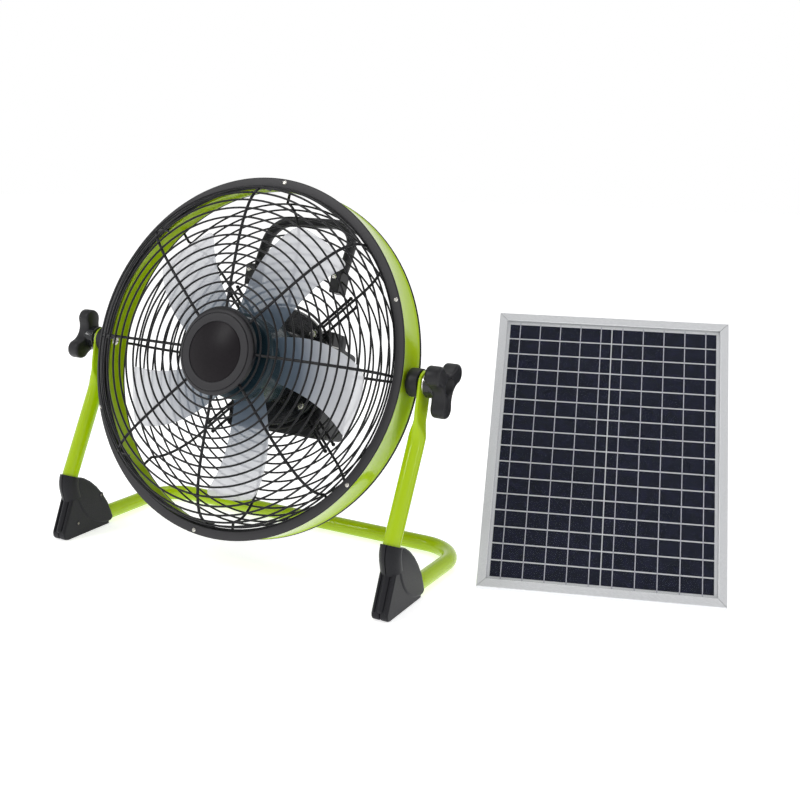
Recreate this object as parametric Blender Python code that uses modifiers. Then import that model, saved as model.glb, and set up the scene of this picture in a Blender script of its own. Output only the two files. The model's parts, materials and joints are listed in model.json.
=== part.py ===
"""A rechargeable floor fan in a round drum on a tilting tube stand, with its separate framed solar panel.

Metres, +Z up. The fan is laid out from the point on the floor under the middle of its pivot line: +X runs
along the pivot line, the fan blows towards -Y. At the end the whole assembly moves so that the middle of its
bounding box's bottom is the origin.
"""

from math import acos, atan2, ceil, cos, hypot, pi, radians, sin, sqrt, tan

import bmesh
import bpy
from mathutils import Matrix, Vector

GAP = 0.0003  # between neighbouring pieces

# Fan head: radii from the fan axis, places along it with 0 at the pivot line and + towards the front
PIVOT_HEIGHT = 0.2737
HEAD_TILT = radians(17.3)
DRUM_RADIUS = 0.2375
DRUM_WALL = 0.0016
DRUM_HALF_DEPTH = 0.023
BEAD = 0.0012
FLANGE_INNER_RADIUS = 0.2245
BAND_INNER_RADIUS = 0.2271
BAND_OUTER_RADIUS = 0.2388
BAND_BACK = 0.0238
BAND_FRONT = 0.0264
LARGE_SEGMENTS = 40
MEDIUM_SEGMENTS = 24
SMALL_SEGMENTS = 16

# Wire guards
RING_WIRE = 0.0016
SPOKE_WIRE = 0.0020
RING_OFFSET = 0.0018
RING_PITCH = 0.02450  # every second ring of the real guard, whose pitch is half of this
INNER_RING = 0.0639
FIRST_RING = 0.0878
RING_SEGMENTS = 20
SPOKES = 8
FRONT_FLAT = 0.0720
FRONT_FLAT_RADIUS = 0.095
FRONT_DOME_RADIUS = 0.222
FRONT_DOME_FOOT = 0.0205
FRONT_DOME_POWER = 3.0
FRONT_OUTER_RING = 0.2275
REAR_FLAT = -0.0680
REAR_FLAT_RADIUS = 0.160
REAR_DOME_RADIUS = 0.218
REAR_DOME_FOOT = -0.024
REAR_DOME_POWER = 2.0
REAR_OUTER_RING = 0.2360
REAR_HUB_RING = 0.0860
FRONT_SPOKE_START = 0.0460

# Front hub cover and its label disc
HUB_PLATE_RADIUS = 0.0560
HUB_COVER_RADIUS = 0.0565
HUB_COVER_BACK = 0.0756
HUB_COVER_FRONT = 0.0815
LABEL_RADIUS = 0.0385
LABEL_DEPTH = 0.0012

# Motor and fan
PLATE_RADIUS = 0.0820
PLATE_BACK = -0.0710
PLATE_FRONT = -0.0650
MOTOR_RADIUS = 0.0500
MOTOR_BACK = -0.0647
MOTOR_FRONT = -0.0100
MOTOR_WALL = 0.0025
SHAFT_RADIUS = 0.0040
BEARING_RADIUS = 0.0107
BEARING_WIDTH = 0.0065
STATOR_TEETH = 9
HUB_RADIUS = 0.0570
HUB_BACK = -0.0220
HUB_FRONT = 0.0360
HUB_WALL = 0.0025
BLADES = 5
BLADE_PHASE = radians(2.4)
BLADE_ROOT = 0.0560
BLADE_TIP = 0.1870
BLADE_THICKNESS = 0.0020
BLADE_PLACE = 0.0173
BLADE_TIP_CORNER = 0.93  # share of the blade's length where its corners start to round off

# Battery and control case behind the rear guard
CASE_HALF_WIDTH = 0.0750
CASE_TOP = 0.0570
CASE_BOTTOM = -0.0910
CASE_FRONT = -0.0760
CASE_SPLIT = -0.1000
CASE_STEP = 0.0380
CASE_UPPER_BACK = -0.1190
CASE_BACK = -0.1520
CASE_WALL = 0.0025
CASE_SCREW = 0.0500
KNOB_SHAFT = 0.0030
LENS_LEFT = 0.0340
LENS_RIGHT = 0.0540
LENS_HALF_HEIGHT = 0.0035
USB_LOW = (-0.0600, -0.1300)  # up and along the axis
USB_HIGH = (-0.0500, -0.1150)

# Carry handle on the rear guard
HANDLE_FOOT = (0.0700, 0.1250, -0.0808)
HANDLE_TOP_HEIGHT = 0.2100
HANDLE_TOP_BACK = -0.0990
HANDLE_RADIUS = 0.0085
HANDLE_BENDS = (0.030, 0.034, 0.034, 0.030)
CLAMP_HALF_WIDTH = 0.0092
CLAMP_BELOW = 0.0160
CLAMP_ABOVE = 0.0140

# Stand
LEG_X = 0.2580
TUBE_RADIUS = 0.0110
TUBE_SIDES = 3  # bevel resolution: ten sides, one of them flat on the floor
REAR_RUN_Z = 0.0105
LEG_PLATE_THICKNESS = 0.0050
LEG_PLATE_HALF_WIDTH = 0.0160
LEG_PLATE_TOP = 0.0160
FLAT_LENGTH = 0.0300
FLARE_LENGTH = 0.0360
REAR_RUN_Y = 0.1356
REAR_CORNER_RADIUS = 0.0550
BOLT_RADIUS = 0.0040
BOLT_HOLE_RADIUS = 0.0043
FOOT_HALF_WIDTH = 0.0130
FOOT_CLEARANCE = 0.0003
FOOT_SCREWS = ((-0.0810, 0.0830), (-0.0270, 0.0480), (-0.0740, 0.0170))  # backwards and up

# Pivot hardware, places measured outwards from the middle of the fan
BOLT_HEAD_INNER = 0.2318
BOLT_END = 0.2790
BOSS_INNER = 0.2390
BOSS_RADIUS = 0.0180
WASHER_RADIUS = 0.0140
WASHER_THICKNESS = 0.0015
KNOB_NECK_RADIUS = 0.0170
KNOB_LOBE_BACK = 0.2730
KNOB_FACE = 0.2920
KNOB_REACH = 0.0400
KNOB_LOBE_RADIUS = 0.0125
KNOB_RECESS_RADIUS = 0.0110
KNOB_RECESS_DEPTH = 0.0120
NUT_RADIUS = 0.0075

# Solar panel, in its own frame: X across, Y up its face, Z out of its face
PANEL_WIDTH = 0.312
PANEL_HEIGHT = 0.390
PANEL_DEPTH = 0.017
PANEL_BASE = (0.4663, 0.0990, 0.0)
PANEL_YAW = radians(18.5)
PANEL_LEAN = radians(35)
RAIL_WALL = 0.0018
RAIL_LIP = 0.0110
RAIL_SHELF = 0.0080
RAIL_FLANGE = 0.0160
SHELF_TOP = 0.0109
LEG_PIVOT_UP = 0.240
LEG_PIVOT_BACK = -0.008
LEG_ARM_X = 0.1310
LEG_LENGTH = 0.2150
LEG_RADIUS = 0.0045
PIN_RADIUS = 0.0020
PIN_HOLE_RADIUS = 0.0023

for old in list(bpy.data.objects):
    bpy.data.objects.remove(old, do_unlink=True)
parts = bpy.data.collections.new("solar_drum_fan")
cutters = bpy.data.collections.new("cutters")
bpy.context.scene.collection.children.link(parts)
bpy.context.scene.collection.children.link(cutters)


def material(name, color, roughness, metallic=0.0, alpha=1.0):
    made = bpy.data.materials.new(name)
    made.use_nodes = True
    shader = made.node_tree.nodes["Principled BSDF"]
    shader.inputs["Base Color"].default_value = (*color, 1.0)
    shader.inputs["Roughness"].default_value = roughness
    shader.inputs["Metallic"].default_value = metallic
    shader.inputs["Alpha"].default_value = alpha
    return made


GREEN_PAINT = material("green_paint", (0.36, 0.58, 0.01), 0.3)
BLACK_WIRE = material("black_wire", (0.012, 0.012, 0.014), 0.4)
BLACK_PLASTIC = material("black_plastic", (0.018, 0.018, 0.020), 0.5)
GREY_PLASTIC = material("grey_plastic", (0.06, 0.06, 0.068), 0.5)
SMOKY_PLASTIC = material("smoky_plastic", (0.35, 0.40, 0.46), 0.15, alpha=0.6)
STEEL = material("steel", (0.6, 0.6, 0.6), 0.3, 1.0)
BRASS = material("brass", (0.7, 0.5, 0.2), 0.35, 1.0)
ALUMINIUM = material("aluminium", (0.75, 0.76, 0.78), 0.35, 1.0)
COPPER = material("stator_steel", (0.3, 0.16, 0.08), 0.5, 1.0)
GLASS = material("panel_glass", (0.9, 0.95, 1.0), 0.05, alpha=0.35)
CELLS = material("solar_cells", (0.01, 0.015, 0.05), 0.25)
WHITE_SHEET = material("white_sheet", (0.85, 0.86, 0.87), 0.6)
BOARD_GREEN = material("board_green", (0.02, 0.16, 0.05), 0.5)
RED_LENS = material("red_lens", (0.6, 0.03, 0.02), 0.2)
BATTERY_WRAP = material("battery_wrap", (0.02, 0.10, 0.35), 0.4)


def empty(name, location=(0, 0, 0), rotation=(0, 0, 0), parent=None):
    made = bpy.data.objects.new(name, None)
    made.location = location
    made.rotation_euler = rotation
    made.parent = parent
    parts.objects.link(made)
    return made


def add(name, mesh, look, parent, cutter=False):
    """An object in the parts, or in the hidden cutters."""
    made = bpy.data.objects.new(name, mesh)
    made.parent = parent
    if cutter:
        made.hide_render = True
        made.display_type = "WIRE"
        cutters.objects.link(made)
        return made
    if look:
        mesh.materials.append(look)
    parts.objects.link(made)
    return made


def smooth(made):
    made.data.shade_smooth()
    made.data.set_sharp_from_angle(angle=radians(35))
    return made


def turned(name, profile, look, parent, segments=MEDIUM_SEGMENTS, cutter=False):
    """A profile of (radius, place) turned about Z; a solid of revolution if both its ends lie on the axis."""
    area = sum(a[0] * b[1] - b[0] * a[1] for a, b in zip(profile, profile[1:] + profile[:1], strict=True))
    if area > 0:
        profile = profile[::-1]
    count = len(profile)
    closed = profile[0][0] > 0 or profile[-1][0] > 0
    edges = [(i, (i + 1) % count) for i in range(count if closed else count - 1)]
    mesh = bpy.data.meshes.new(name)
    mesh.from_pydata([(r, 0, z) for r, z in profile], edges, [])
    made = add(name, mesh, look, parent, cutter)
    screw = made.modifiers.new("turn", "SCREW")
    screw.axis = "Z"
    screw.steps = segments
    screw.render_steps = segments
    screw.use_merge_vertices = True
    screw.merge_threshold = 0.00001
    screw.use_smooth_shade = True
    return made


def rod(name, radius, low, high, look, parent, segments=SMALL_SEGMENTS, cutter=False, place=(0, 0)):
    """A round bar along Z from low to high."""
    mesh = bpy.data.meshes.new(name)
    shape = bmesh.new()
    bmesh.ops.create_cone(
        shape, cap_ends=True, segments=segments, radius1=radius, radius2=radius, depth=high - low
    )
    bmesh.ops.translate(shape, verts=shape.verts, vec=(place[0], place[1], (low + high) / 2))
    shape.to_mesh(mesh)
    shape.free()
    made = add(name, mesh, look, parent, cutter)
    return smooth(made)


def ring(name, inner, outer, low, high, look, parent, segments=MEDIUM_SEGMENTS):
    profile = [(outer, high), (outer, low), (inner, low), (inner, high)]
    return turned(name, profile, look, parent, segments)


def box(name, low, high, look, parent, bevel=0.0, cutter=False):
    """A box between two corners, with rounded edges where bevel is given."""
    mesh = bpy.data.meshes.new(name)
    shape = bmesh.new()
    bmesh.ops.create_cube(shape, size=1.0)
    size = [b - a for a, b in zip(low, high, strict=True)]
    middle = [(a + b) / 2 for a, b in zip(low, high, strict=True)]
    bmesh.ops.scale(shape, verts=shape.verts, vec=size)
    bmesh.ops.translate(shape, verts=shape.verts, vec=middle)
    shape.to_mesh(mesh)
    shape.free()
    made = add(name, mesh, look, parent, cutter)
    if bevel:
        rounded(made, bevel)
    return made


def rounded(made, width, segments=2):
    bevel = made.modifiers.new("rounded", "BEVEL")
    bevel.width = width
    bevel.segments = segments
    bevel.limit_method = "ANGLE"
    bevel.angle_limit = radians(40)
    return made


def prism(name, outline, low, high, look, parent, cutter=False):
    """A flat outline of (x, y) points pushed along Z from low to high."""
    mesh = bpy.data.meshes.new(name)
    shape = bmesh.new()
    face = shape.faces.new([shape.verts.new((x, y, low)) for x, y in outline])
    pushed = bmesh.ops.extrude_face_region(shape, geom=[face])["geom"]
    moved = [v for v in pushed if isinstance(v, bmesh.types.BMVert)]
    bmesh.ops.translate(shape, verts=moved, vec=(0, 0, high - low))
    bmesh.ops.recalc_face_normals(shape, faces=shape.faces)
    shape.to_mesh(mesh)
    shape.free()
    return add(name, mesh, look, parent, cutter)


def boolean(made, other, operation):
    modifier = made.modifiers.new(operation.lower(), "BOOLEAN")
    modifier.operation = operation
    modifier.object = other
    modifier.solver = "EXACT"
    return made


def cut(made, *others):
    for other in others:
        boolean(made, other, "DIFFERENCE")
    return made


def join(made, *others):
    """Unions cutters-collection shapes with a piece, so that it is one body."""
    for other in others:
        boolean(made, other, "UNION")
    return made


def wire_curve(name, runs, radius, resolution, cyclic=False):
    """A curve object of POLY splines, each with a round bevel and filled ends."""
    curve = bpy.data.curves.new(name, "CURVE")
    curve.dimensions = "3D"
    curve.bevel_depth = radius
    curve.bevel_resolution = resolution
    curve.use_fill_caps = True
    for points in runs:
        spline = curve.splines.new("POLY")
        spline.points.add(len(points) - 1)
        for point, at in zip(spline.points, points, strict=True):
            point.co = (*at, 1.0)
        spline.use_cyclic_u = cyclic
    made = bpy.data.objects.new(name, curve)
    parts.objects.link(made)
    return made


def wires(name, runs, radius, look, parent, resolution=2, cyclic=False, cutter=False):
    """Wires as a mesh, so that they can be joined or cut."""
    curve = wire_curve(name + "_curve", runs, radius, resolution, cyclic)
    bpy.context.view_layer.update()
    evaluated = curve.evaluated_get(bpy.context.evaluated_depsgraph_get())
    mesh = bpy.data.meshes.new_from_object(evaluated)
    mesh.name = name
    bpy.data.objects.remove(curve, do_unlink=True)
    shape = bmesh.new()
    shape.from_mesh(mesh)
    bmesh.ops.remove_doubles(shape, verts=shape.verts, dist=0.00001)
    bmesh.ops.recalc_face_normals(shape, faces=shape.faces)
    shape.to_mesh(mesh)
    shape.free()
    mesh.materials.clear()
    return smooth(add(name, mesh, look, parent, cutter))


def rounded_path(corners, radii, turn_step=radians(12)):
    """The corners' polyline with each inner corner made an arc of its radius."""
    path = [Vector(corners[0])]
    for before, corner, after, radius in zip(corners, corners[1:], corners[2:], radii, strict=False):
        corner = Vector(corner)
        back = (Vector(before) - corner).normalized()
        ahead = (Vector(after) - corner).normalized()
        turn = pi - acos(max(-1.0, min(1.0, back.dot(ahead))))
        reach = radius * tan(turn / 2)
        centre = corner + (back + ahead).normalized() * hypot(radius, reach)
        start = corner + back * reach
        end = corner + ahead * reach
        steps = max(2, ceil(turn / turn_step))
        first = (start - centre).normalized()
        last = (end - centre).normalized()
        for step in range(steps + 1):
            share = step / steps
            weight_first = sin((1 - share) * turn) / sin(turn)
            weight_last = sin(share * turn) / sin(turn)
            path.append(centre + (first * weight_first + last * weight_last) * radius)
    path.append(Vector(corners[-1]))
    return path


root = empty("assembly")
head = empty("head_tilt_axis", (0, 0, PIVOT_HEIGHT), (pi / 2 - HEAD_TILT, 0, 0), root)
side_frames = {
    side: empty(f"{side}_pivot_axis", (0, 0, PIVOT_HEIGHT), (pi / 2, 0, turn), root)
    for side, turn in (("left", -pi / 2), ("right", pi / 2))
}
profile_frame = empty("side_profile_frame", (0, 0, 0), (pi / 2, 0, pi / 2), root)


# ---------------------------------------------------------------- drum and front band
def make_drum():
    inner = DRUM_RADIUS - DRUM_WALL
    half = DRUM_HALF_DEPTH
    lip = 0.004
    profile = [
        (DRUM_RADIUS, half),
        (DRUM_RADIUS, half - lip),
        (DRUM_RADIUS - BEAD, half - 1.5 * lip),
        (DRUM_RADIUS - BEAD, 1.5 * lip - half),
        (DRUM_RADIUS, lip - half),
        (DRUM_RADIUS, -half),
        (inner, -half),
        (inner, lip - half),
        (inner - BEAD, 1.5 * lip - half),
        (inner - BEAD, half - 0.0069),
        (FLANGE_INNER_RADIUS, half - 0.0069),
        (FLANGE_INNER_RADIUS, half - 0.0055),
        (inner, half - 0.0055),
        (inner, half),
    ]
    drum = turned("drum", profile, GREEN_PAINT, head, LARGE_SEGMENTS)
    for side, frame in side_frames.items():
        low, high = DRUM_RADIUS - 0.02, DRUM_RADIUS + 0.02
        cut(drum, rod(f"{side}_drum_hole", BOLT_HOLE_RADIUS, low, high, None, frame, cutter=True))
    return drum


def make_rim_band():
    lip = 0.0016
    profile = [
        (BAND_OUTER_RADIUS - lip, BAND_FRONT),
        (BAND_OUTER_RADIUS, BAND_FRONT - lip / 2),
        (BAND_OUTER_RADIUS, BAND_BACK),
        (BAND_INNER_RADIUS, BAND_BACK),
        (BAND_INNER_RADIUS, BAND_FRONT - lip / 2),
        (BAND_INNER_RADIUS + lip, BAND_FRONT),
    ]
    return turned("rim_band", profile, GREY_PLASTIC, head, LARGE_SEGMENTS)


# ---------------------------------------------------------------- wire guards
def dome_points(flat, flat_radius, edge_radius, foot, power, steps=6):
    """The curved edge of a guard, from the end of its flat to its foot, as (radius, place)."""
    found = []
    for step in range(steps + 1):
        along = sin(step / steps * pi / 2)
        rise = (1 - along**power) ** (1 / power)
        found.append((flat_radius + (edge_radius - flat_radius) * along, foot + (flat - foot) * rise))
    return found


def ring_places(section, first, offset):
    """(radius, place) of each ring: spaced evenly along the section, on its outer side."""
    places = []
    wanted = first
    travelled = section[0][0]
    for (r0, z0), (r1, z1) in zip(section, section[1:], strict=False):
        length = hypot(r1 - r0, z1 - z0)
        while travelled + length > wanted:
            share = (wanted - travelled) / length
            outward = Vector((z0 - z1, r1 - r0)).normalized() * offset
            places.append((r0 + (r1 - r0) * share + outward.x, z0 + (z1 - z0) * share + outward.y))
            wanted += RING_PITCH
        travelled += length
    return places


def circle(radius, place, segments):
    """Points of a ring whose corners lie between the spokes."""
    turns = [(i + 0.5) * 2 * pi / segments for i in range(segments)]
    return [(radius * cos(turn), radius * sin(turn), place) for turn in turns]


def guard(name, section, rings, outer_ring, hub_radius):
    """Radial spokes bent to the section, concentric rings on their outer side, and an outer ring."""
    made = wires(
        name, [circle(r, z, RING_SEGMENTS) for r, z in rings], RING_WIRE, BLACK_WIRE, head, 0, True
    )
    outer = [circle(*outer_ring, LARGE_SEGMENTS)]
    outer = wires(name + "_outer_ring", outer, SPOKE_WIRE, None, head, 0, True, cutter=True)
    runs = []
    for spoke in range(SPOKES):
        turn = spoke * 2 * pi / SPOKES
        runs.append([(r * cos(turn), r * sin(turn), z) for r, z in section if r >= hub_radius])
    spokes = wires(name + "_spokes", runs, SPOKE_WIRE, None, head, 0, cutter=True)
    return join(made, spokes, outer)


def make_front_guard():
    dome = dome_points(
        FRONT_FLAT, FRONT_FLAT_RADIUS, FRONT_DOME_RADIUS, FRONT_DOME_FOOT, FRONT_DOME_POWER
    )
    end = (FRONT_OUTER_RING, DRUM_HALF_DEPTH - 0.0024)
    section = [(FRONT_SPOKE_START, FRONT_FLAT), *dome, end]
    rings = [(INNER_RING, FRONT_FLAT + RING_OFFSET)]
    rings += ring_places(section[:-1], FIRST_RING, RING_OFFSET)
    made = guard("front_guard", section, rings, end, FRONT_SPOKE_START)
    plate = [(0, FRONT_FLAT + 0.003), (HUB_PLATE_RADIUS, FRONT_FLAT + 0.003)]
    plate += [(HUB_PLATE_RADIUS, FRONT_FLAT - 0.001), (0, FRONT_FLAT - 0.001)]
    return join(made, turned("front_hub_plate", plate, None, head, cutter=True))


def make_rear_guard():
    dome = dome_points(REAR_FLAT, REAR_FLAT_RADIUS, REAR_DOME_RADIUS, REAR_DOME_FOOT, REAR_DOME_POWER)
    end = (REAR_OUTER_RING, -DRUM_HALF_DEPTH - 0.0026)
    section = [(REAR_HUB_RING, REAR_FLAT), *dome, end]
    rings = [(REAR_HUB_RING, REAR_FLAT)]
    rings += ring_places(section[:-1], REAR_HUB_RING + RING_PITCH, -RING_OFFSET)
    return guard("rear_guard", section, rings, end, REAR_HUB_RING)


def make_hub_cover():
    profile = [
        (0, HUB_COVER_FRONT - LABEL_DEPTH),
        (LABEL_RADIUS + GAP, HUB_COVER_FRONT - LABEL_DEPTH),
        (LABEL_RADIUS + GAP, HUB_COVER_FRONT - 0.0004),
        (0.0485, HUB_COVER_FRONT),
        (0.0500, HUB_COVER_FRONT - 0.0010),
        (0.0520, HUB_COVER_FRONT - 0.0010),
        (0.0555, HUB_COVER_FRONT - 0.0026),
        (HUB_COVER_RADIUS, HUB_COVER_FRONT - 0.0045),
        (HUB_COVER_RADIUS, HUB_COVER_BACK),
        (0, HUB_COVER_BACK),
    ]
    turned("front_hub_cover", profile, GREY_PLASTIC, head)
    rod(
        "hub_label_disc",
        LABEL_RADIUS,
        HUB_COVER_FRONT - LABEL_DEPTH + GAP,
        HUB_COVER_FRONT,
        BLACK_PLASTIC,
        head,
        MEDIUM_SEGMENTS,
    )


# ---------------------------------------------------------------- motor
def make_motor():
    lip = 0.004
    profile = [
        (0, PLATE_FRONT),
        (PLATE_RADIUS - lip, PLATE_FRONT),
        (PLATE_RADIUS - lip, PLATE_FRONT + lip),
        (PLATE_RADIUS, PLATE_FRONT + lip - 0.001),
        (PLATE_RADIUS, PLATE_BACK),
        (0, PLATE_BACK),
    ]
    turned("motor_mount_plate", profile, BLACK_PLASTIC, head)
    seat = BEARING_RADIUS + GAP
    inner = MOTOR_RADIUS - MOTOR_WALL
    split = MOTOR_BACK + 0.010
    profile = [
        (SHAFT_RADIUS + 0.0015, MOTOR_FRONT),
        (0.030, MOTOR_FRONT),
        (MOTOR_RADIUS, MOTOR_FRONT - 0.008),
        (MOTOR_RADIUS, split + GAP),
        (inner, split + GAP),
        (inner, MOTOR_FRONT - 0.009),
        (0.029, MOTOR_FRONT - MOTOR_WALL),
        (seat + 0.002, MOTOR_FRONT - MOTOR_WALL),
        (seat + 0.002, MOTOR_FRONT - 0.009),
        (seat, MOTOR_FRONT - 0.009),
        (seat, MOTOR_FRONT - 0.002),
        (SHAFT_RADIUS + 0.0015, MOTOR_FRONT - 0.002),
    ]
    turned("motor_housing", profile, BLACK_PLASTIC, head)
    profile = [
        (0, MOTOR_BACK),
        (MOTOR_RADIUS, MOTOR_BACK),
        (MOTOR_RADIUS, split),
        (inner, split),
        (inner, MOTOR_BACK + 0.003),
        (seat + 0.002, MOTOR_BACK + 0.003),
        (seat + 0.002, MOTOR_BACK + 0.009),
        (seat, MOTOR_BACK + 0.009),
        (seat, MOTOR_BACK + 0.002),
        (0, MOTOR_BACK + 0.002),
    ]
    turned("motor_end_cap", profile, BLACK_PLASTIC, head)
    bore = SHAFT_RADIUS + GAP
    front = MOTOR_FRONT - 0.002 - GAP
    ring("front_bearing", bore, BEARING_RADIUS, front - BEARING_WIDTH, front, STEEL, head)
    back = MOTOR_BACK + 0.002 + GAP
    ring("rear_bearing", bore, BEARING_RADIUS, back, back + BEARING_WIDTH, STEEL, head)
    stator = rod("stator", inner - GAP, -0.050, -0.024, COPPER, head, MEDIUM_SEGMENTS)
    cut(stator, prism("stator_slots", stator_opening(), -0.06, -0.01, None, head, cutter=True))
    ring("rotor_magnet", bore, 0.0235, -0.048, -0.026, STEEL, head)
    rod("motor_shaft", SHAFT_RADIUS, back + 0.0005, HUB_FRONT + 0.008, STEEL, head)


def stator_opening():
    """The hollow inside the stator: the bore, with a slot between each two teeth."""
    outline = []
    pitch = 2 * pi / STATOR_TEETH
    for tooth in range(STATOR_TEETH):
        middle = tooth * pitch
        for share, radius in ((-0.30, 0.0245), (0.0, 0.0245), (0.30, 0.0245), (0.32, 0.040), (0.68, 0.040)):
            turn = middle + share * pitch
            outline.append((radius * cos(turn), radius * sin(turn)))
    return outline


# ---------------------------------------------------------------- fan
def blade_point(along, across):
    """A point of the blade's middle surface: along its length and across its chord, each from 0 to 1."""
    radius = BLADE_ROOT + (BLADE_TIP - BLADE_ROOT) * along
    chord = 0.0606 + 0.0514 * along - 0.0228 * along**2
    end = max(0.0, (along - BLADE_TIP_CORNER) / (1 - BLADE_TIP_CORNER))
    chord *= 1 - 0.18 * (1 - sqrt(max(0.0, 1 - end**2)))
    pitch = radians(17 - 8 * along)
    sweep = radians(-6.9 * along - 8.5 * along**2)
    offset = (across - 0.5) * chord
    camber = 0.003 * (1 - (2 * across - 1) ** 2)
    turn = BLADE_PHASE + sweep + offset * cos(pitch) / radius
    place = BLADE_PLACE + 0.0018 * along + offset * sin(pitch) - camber
    return Vector((radius * cos(turn), radius * sin(turn), place))


def make_blade(index):
    rows, columns = 8, 4
    mesh = bpy.data.meshes.new(f"blade_{index}")
    shape = bmesh.new()
    grid = [
        [shape.verts.new(blade_point(sin(i / rows * pi / 2), j / columns)) for j in range(columns + 1)]
        for i in range(rows + 1)
    ]
    for i in range(rows):
        for j in range(columns):
            shape.faces.new((grid[i][j], grid[i + 1][j], grid[i + 1][j + 1], grid[i][j + 1]))
    bmesh.ops.recalc_face_normals(shape, faces=shape.faces)
    shape.to_mesh(mesh)
    shape.free()
    made = add(f"blade_{index}", mesh, None, head, cutter=True)
    made.rotation_euler.z = index * 2 * pi / BLADES
    thick = made.modifiers.new("thick", "SOLIDIFY")
    thick.thickness = BLADE_THICKNESS
    thick.offset = 0
    return made


def make_fan():
    bore = SHAFT_RADIUS + GAP
    profile = [
        (bore, HUB_FRONT),
        (HUB_RADIUS - 0.006, HUB_FRONT),
        (HUB_RADIUS - 0.0015, HUB_FRONT - 0.002),
        (HUB_RADIUS, HUB_FRONT - 0.006),
        (HUB_RADIUS, HUB_BACK),
        (HUB_RADIUS - HUB_WALL, HUB_BACK),
        (HUB_RADIUS - HUB_WALL, HUB_FRONT - 0.006),
        (HUB_RADIUS - 0.007, HUB_FRONT - HUB_WALL),
        (0.0095, HUB_FRONT - HUB_WALL),
        (0.0095, MOTOR_FRONT + 0.003),
        (bore, MOTOR_FRONT + 0.003),
    ]
    fan = turned("fan_blade", profile, SMOKY_PLASTIC, head)
    join(fan, *[make_blade(index) for index in range(BLADES)])
    profile = [
        (bore, HUB_FRONT + 0.0090),
        (0.006, HUB_FRONT + 0.0090),
        (0.010, HUB_FRONT + 0.0060),
        (0.010, HUB_FRONT + GAP),
        (bore, HUB_FRONT + GAP),
    ]
    turned("blade_nut", profile, BLACK_PLASTIC, head, SMALL_SEGMENTS)


# ---------------------------------------------------------------- battery and control case
def make_case_front():
    low = (-CASE_HALF_WIDTH, CASE_BOTTOM, CASE_SPLIT)
    high = (CASE_HALF_WIDTH, CASE_TOP, CASE_FRONT)
    made = box("battery_case_front", low, high, GREY_PLASTIC, head)
    low = (CASE_WALL - CASE_HALF_WIDTH, CASE_BOTTOM + CASE_WALL, CASE_SPLIT - 0.01)
    high = (CASE_HALF_WIDTH - CASE_WALL, CASE_TOP - CASE_WALL, CASE_FRONT - CASE_WALL)
    cut(made, box("case_front_hollow", low, high, None, head, cutter=True))
    for index in range(4):
        turn = pi / 4 + index * pi / 2
        place = (CASE_SCREW * sqrt(2) * cos(turn), CASE_SCREW * sqrt(2) * sin(turn))
        post = rod(
            f"case_post_{index}",
            0.006,
            CASE_FRONT - 0.001,
            PLATE_BACK - GAP,
            None,
            head,
            cutter=True,
            place=place,
        )
        join(made, post)


def case_outline(wall, split):
    """The rear shell's side outline as (up, towards the back), brought in by the wall."""
    upper = -CASE_UPPER_BACK - wall
    back = -CASE_BACK - wall
    return [
        (CASE_TOP - wall, -split),
        (CASE_TOP - wall, upper - 0.004),
        (CASE_TOP - wall - 0.004, upper),
        (CASE_STEP - wall + 0.002, upper + 0.002),
        (CASE_STEP - wall, upper + 0.004),
        (CASE_STEP - wall - 0.003, back - 0.004),
        (CASE_STEP - wall - 0.008, back),
        (CASE_BOTTOM + wall + 0.010, back),
        (CASE_BOTTOM + wall, back - 0.009),
        (CASE_BOTTOM + wall, -split),
    ]


def make_case_rear():
    across = empty("case_profile_frame", (0, 0, 0), (0, 0, 0), head)
    across.matrix_local = Matrix(((0, 0, -1, 0), (1, 0, 0, 0), (0, -1, 0, 0), (0, 0, 0, 1)))
    split = CASE_SPLIT - GAP
    outer = case_outline(0.0, split)
    made = prism("battery_case_rear", outer, -CASE_HALF_WIDTH, CASE_HALF_WIDTH, GREY_PLASTIC, across)
    inner_half = CASE_HALF_WIDTH - CASE_WALL
    hollow = case_outline(CASE_WALL, split + 0.01)
    cut(made, prism("case_rear_hollow", hollow, -inner_half, inner_half, None, across, cutter=True))
    knob_hole = rod(
        "case_knob_hole", KNOB_SHAFT + 0.0006, CASE_BACK - 0.01, CASE_BACK + 0.01, None, head, cutter=True
    )
    low = (LENS_LEFT, -LENS_HALF_HEIGHT, CASE_BACK - 0.01)
    high = (LENS_RIGHT, LENS_HALF_HEIGHT, CASE_BACK + 0.01)
    lens_hole = box("case_lens_hole", low, high, None, head, cutter=True)
    low = (CASE_HALF_WIDTH - 0.01, *USB_LOW)
    high = (CASE_HALF_WIDTH + 0.01, *USB_HIGH)
    usb_hole = box("case_usb_hole", low, high, None, head, cutter=True)
    low, high = CASE_HALF_WIDTH - 0.01, CASE_HALF_WIDTH + 0.01
    side = empty("socket_frame", (0, -0.030, -0.1225), (0, pi / 2, 0), head)
    socket_hole = rod("case_socket_hole", 0.0060, low, high, None, side, cutter=True)
    cut(made, knob_hole, lens_hole, usb_hole, socket_hole)
    return side


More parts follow.
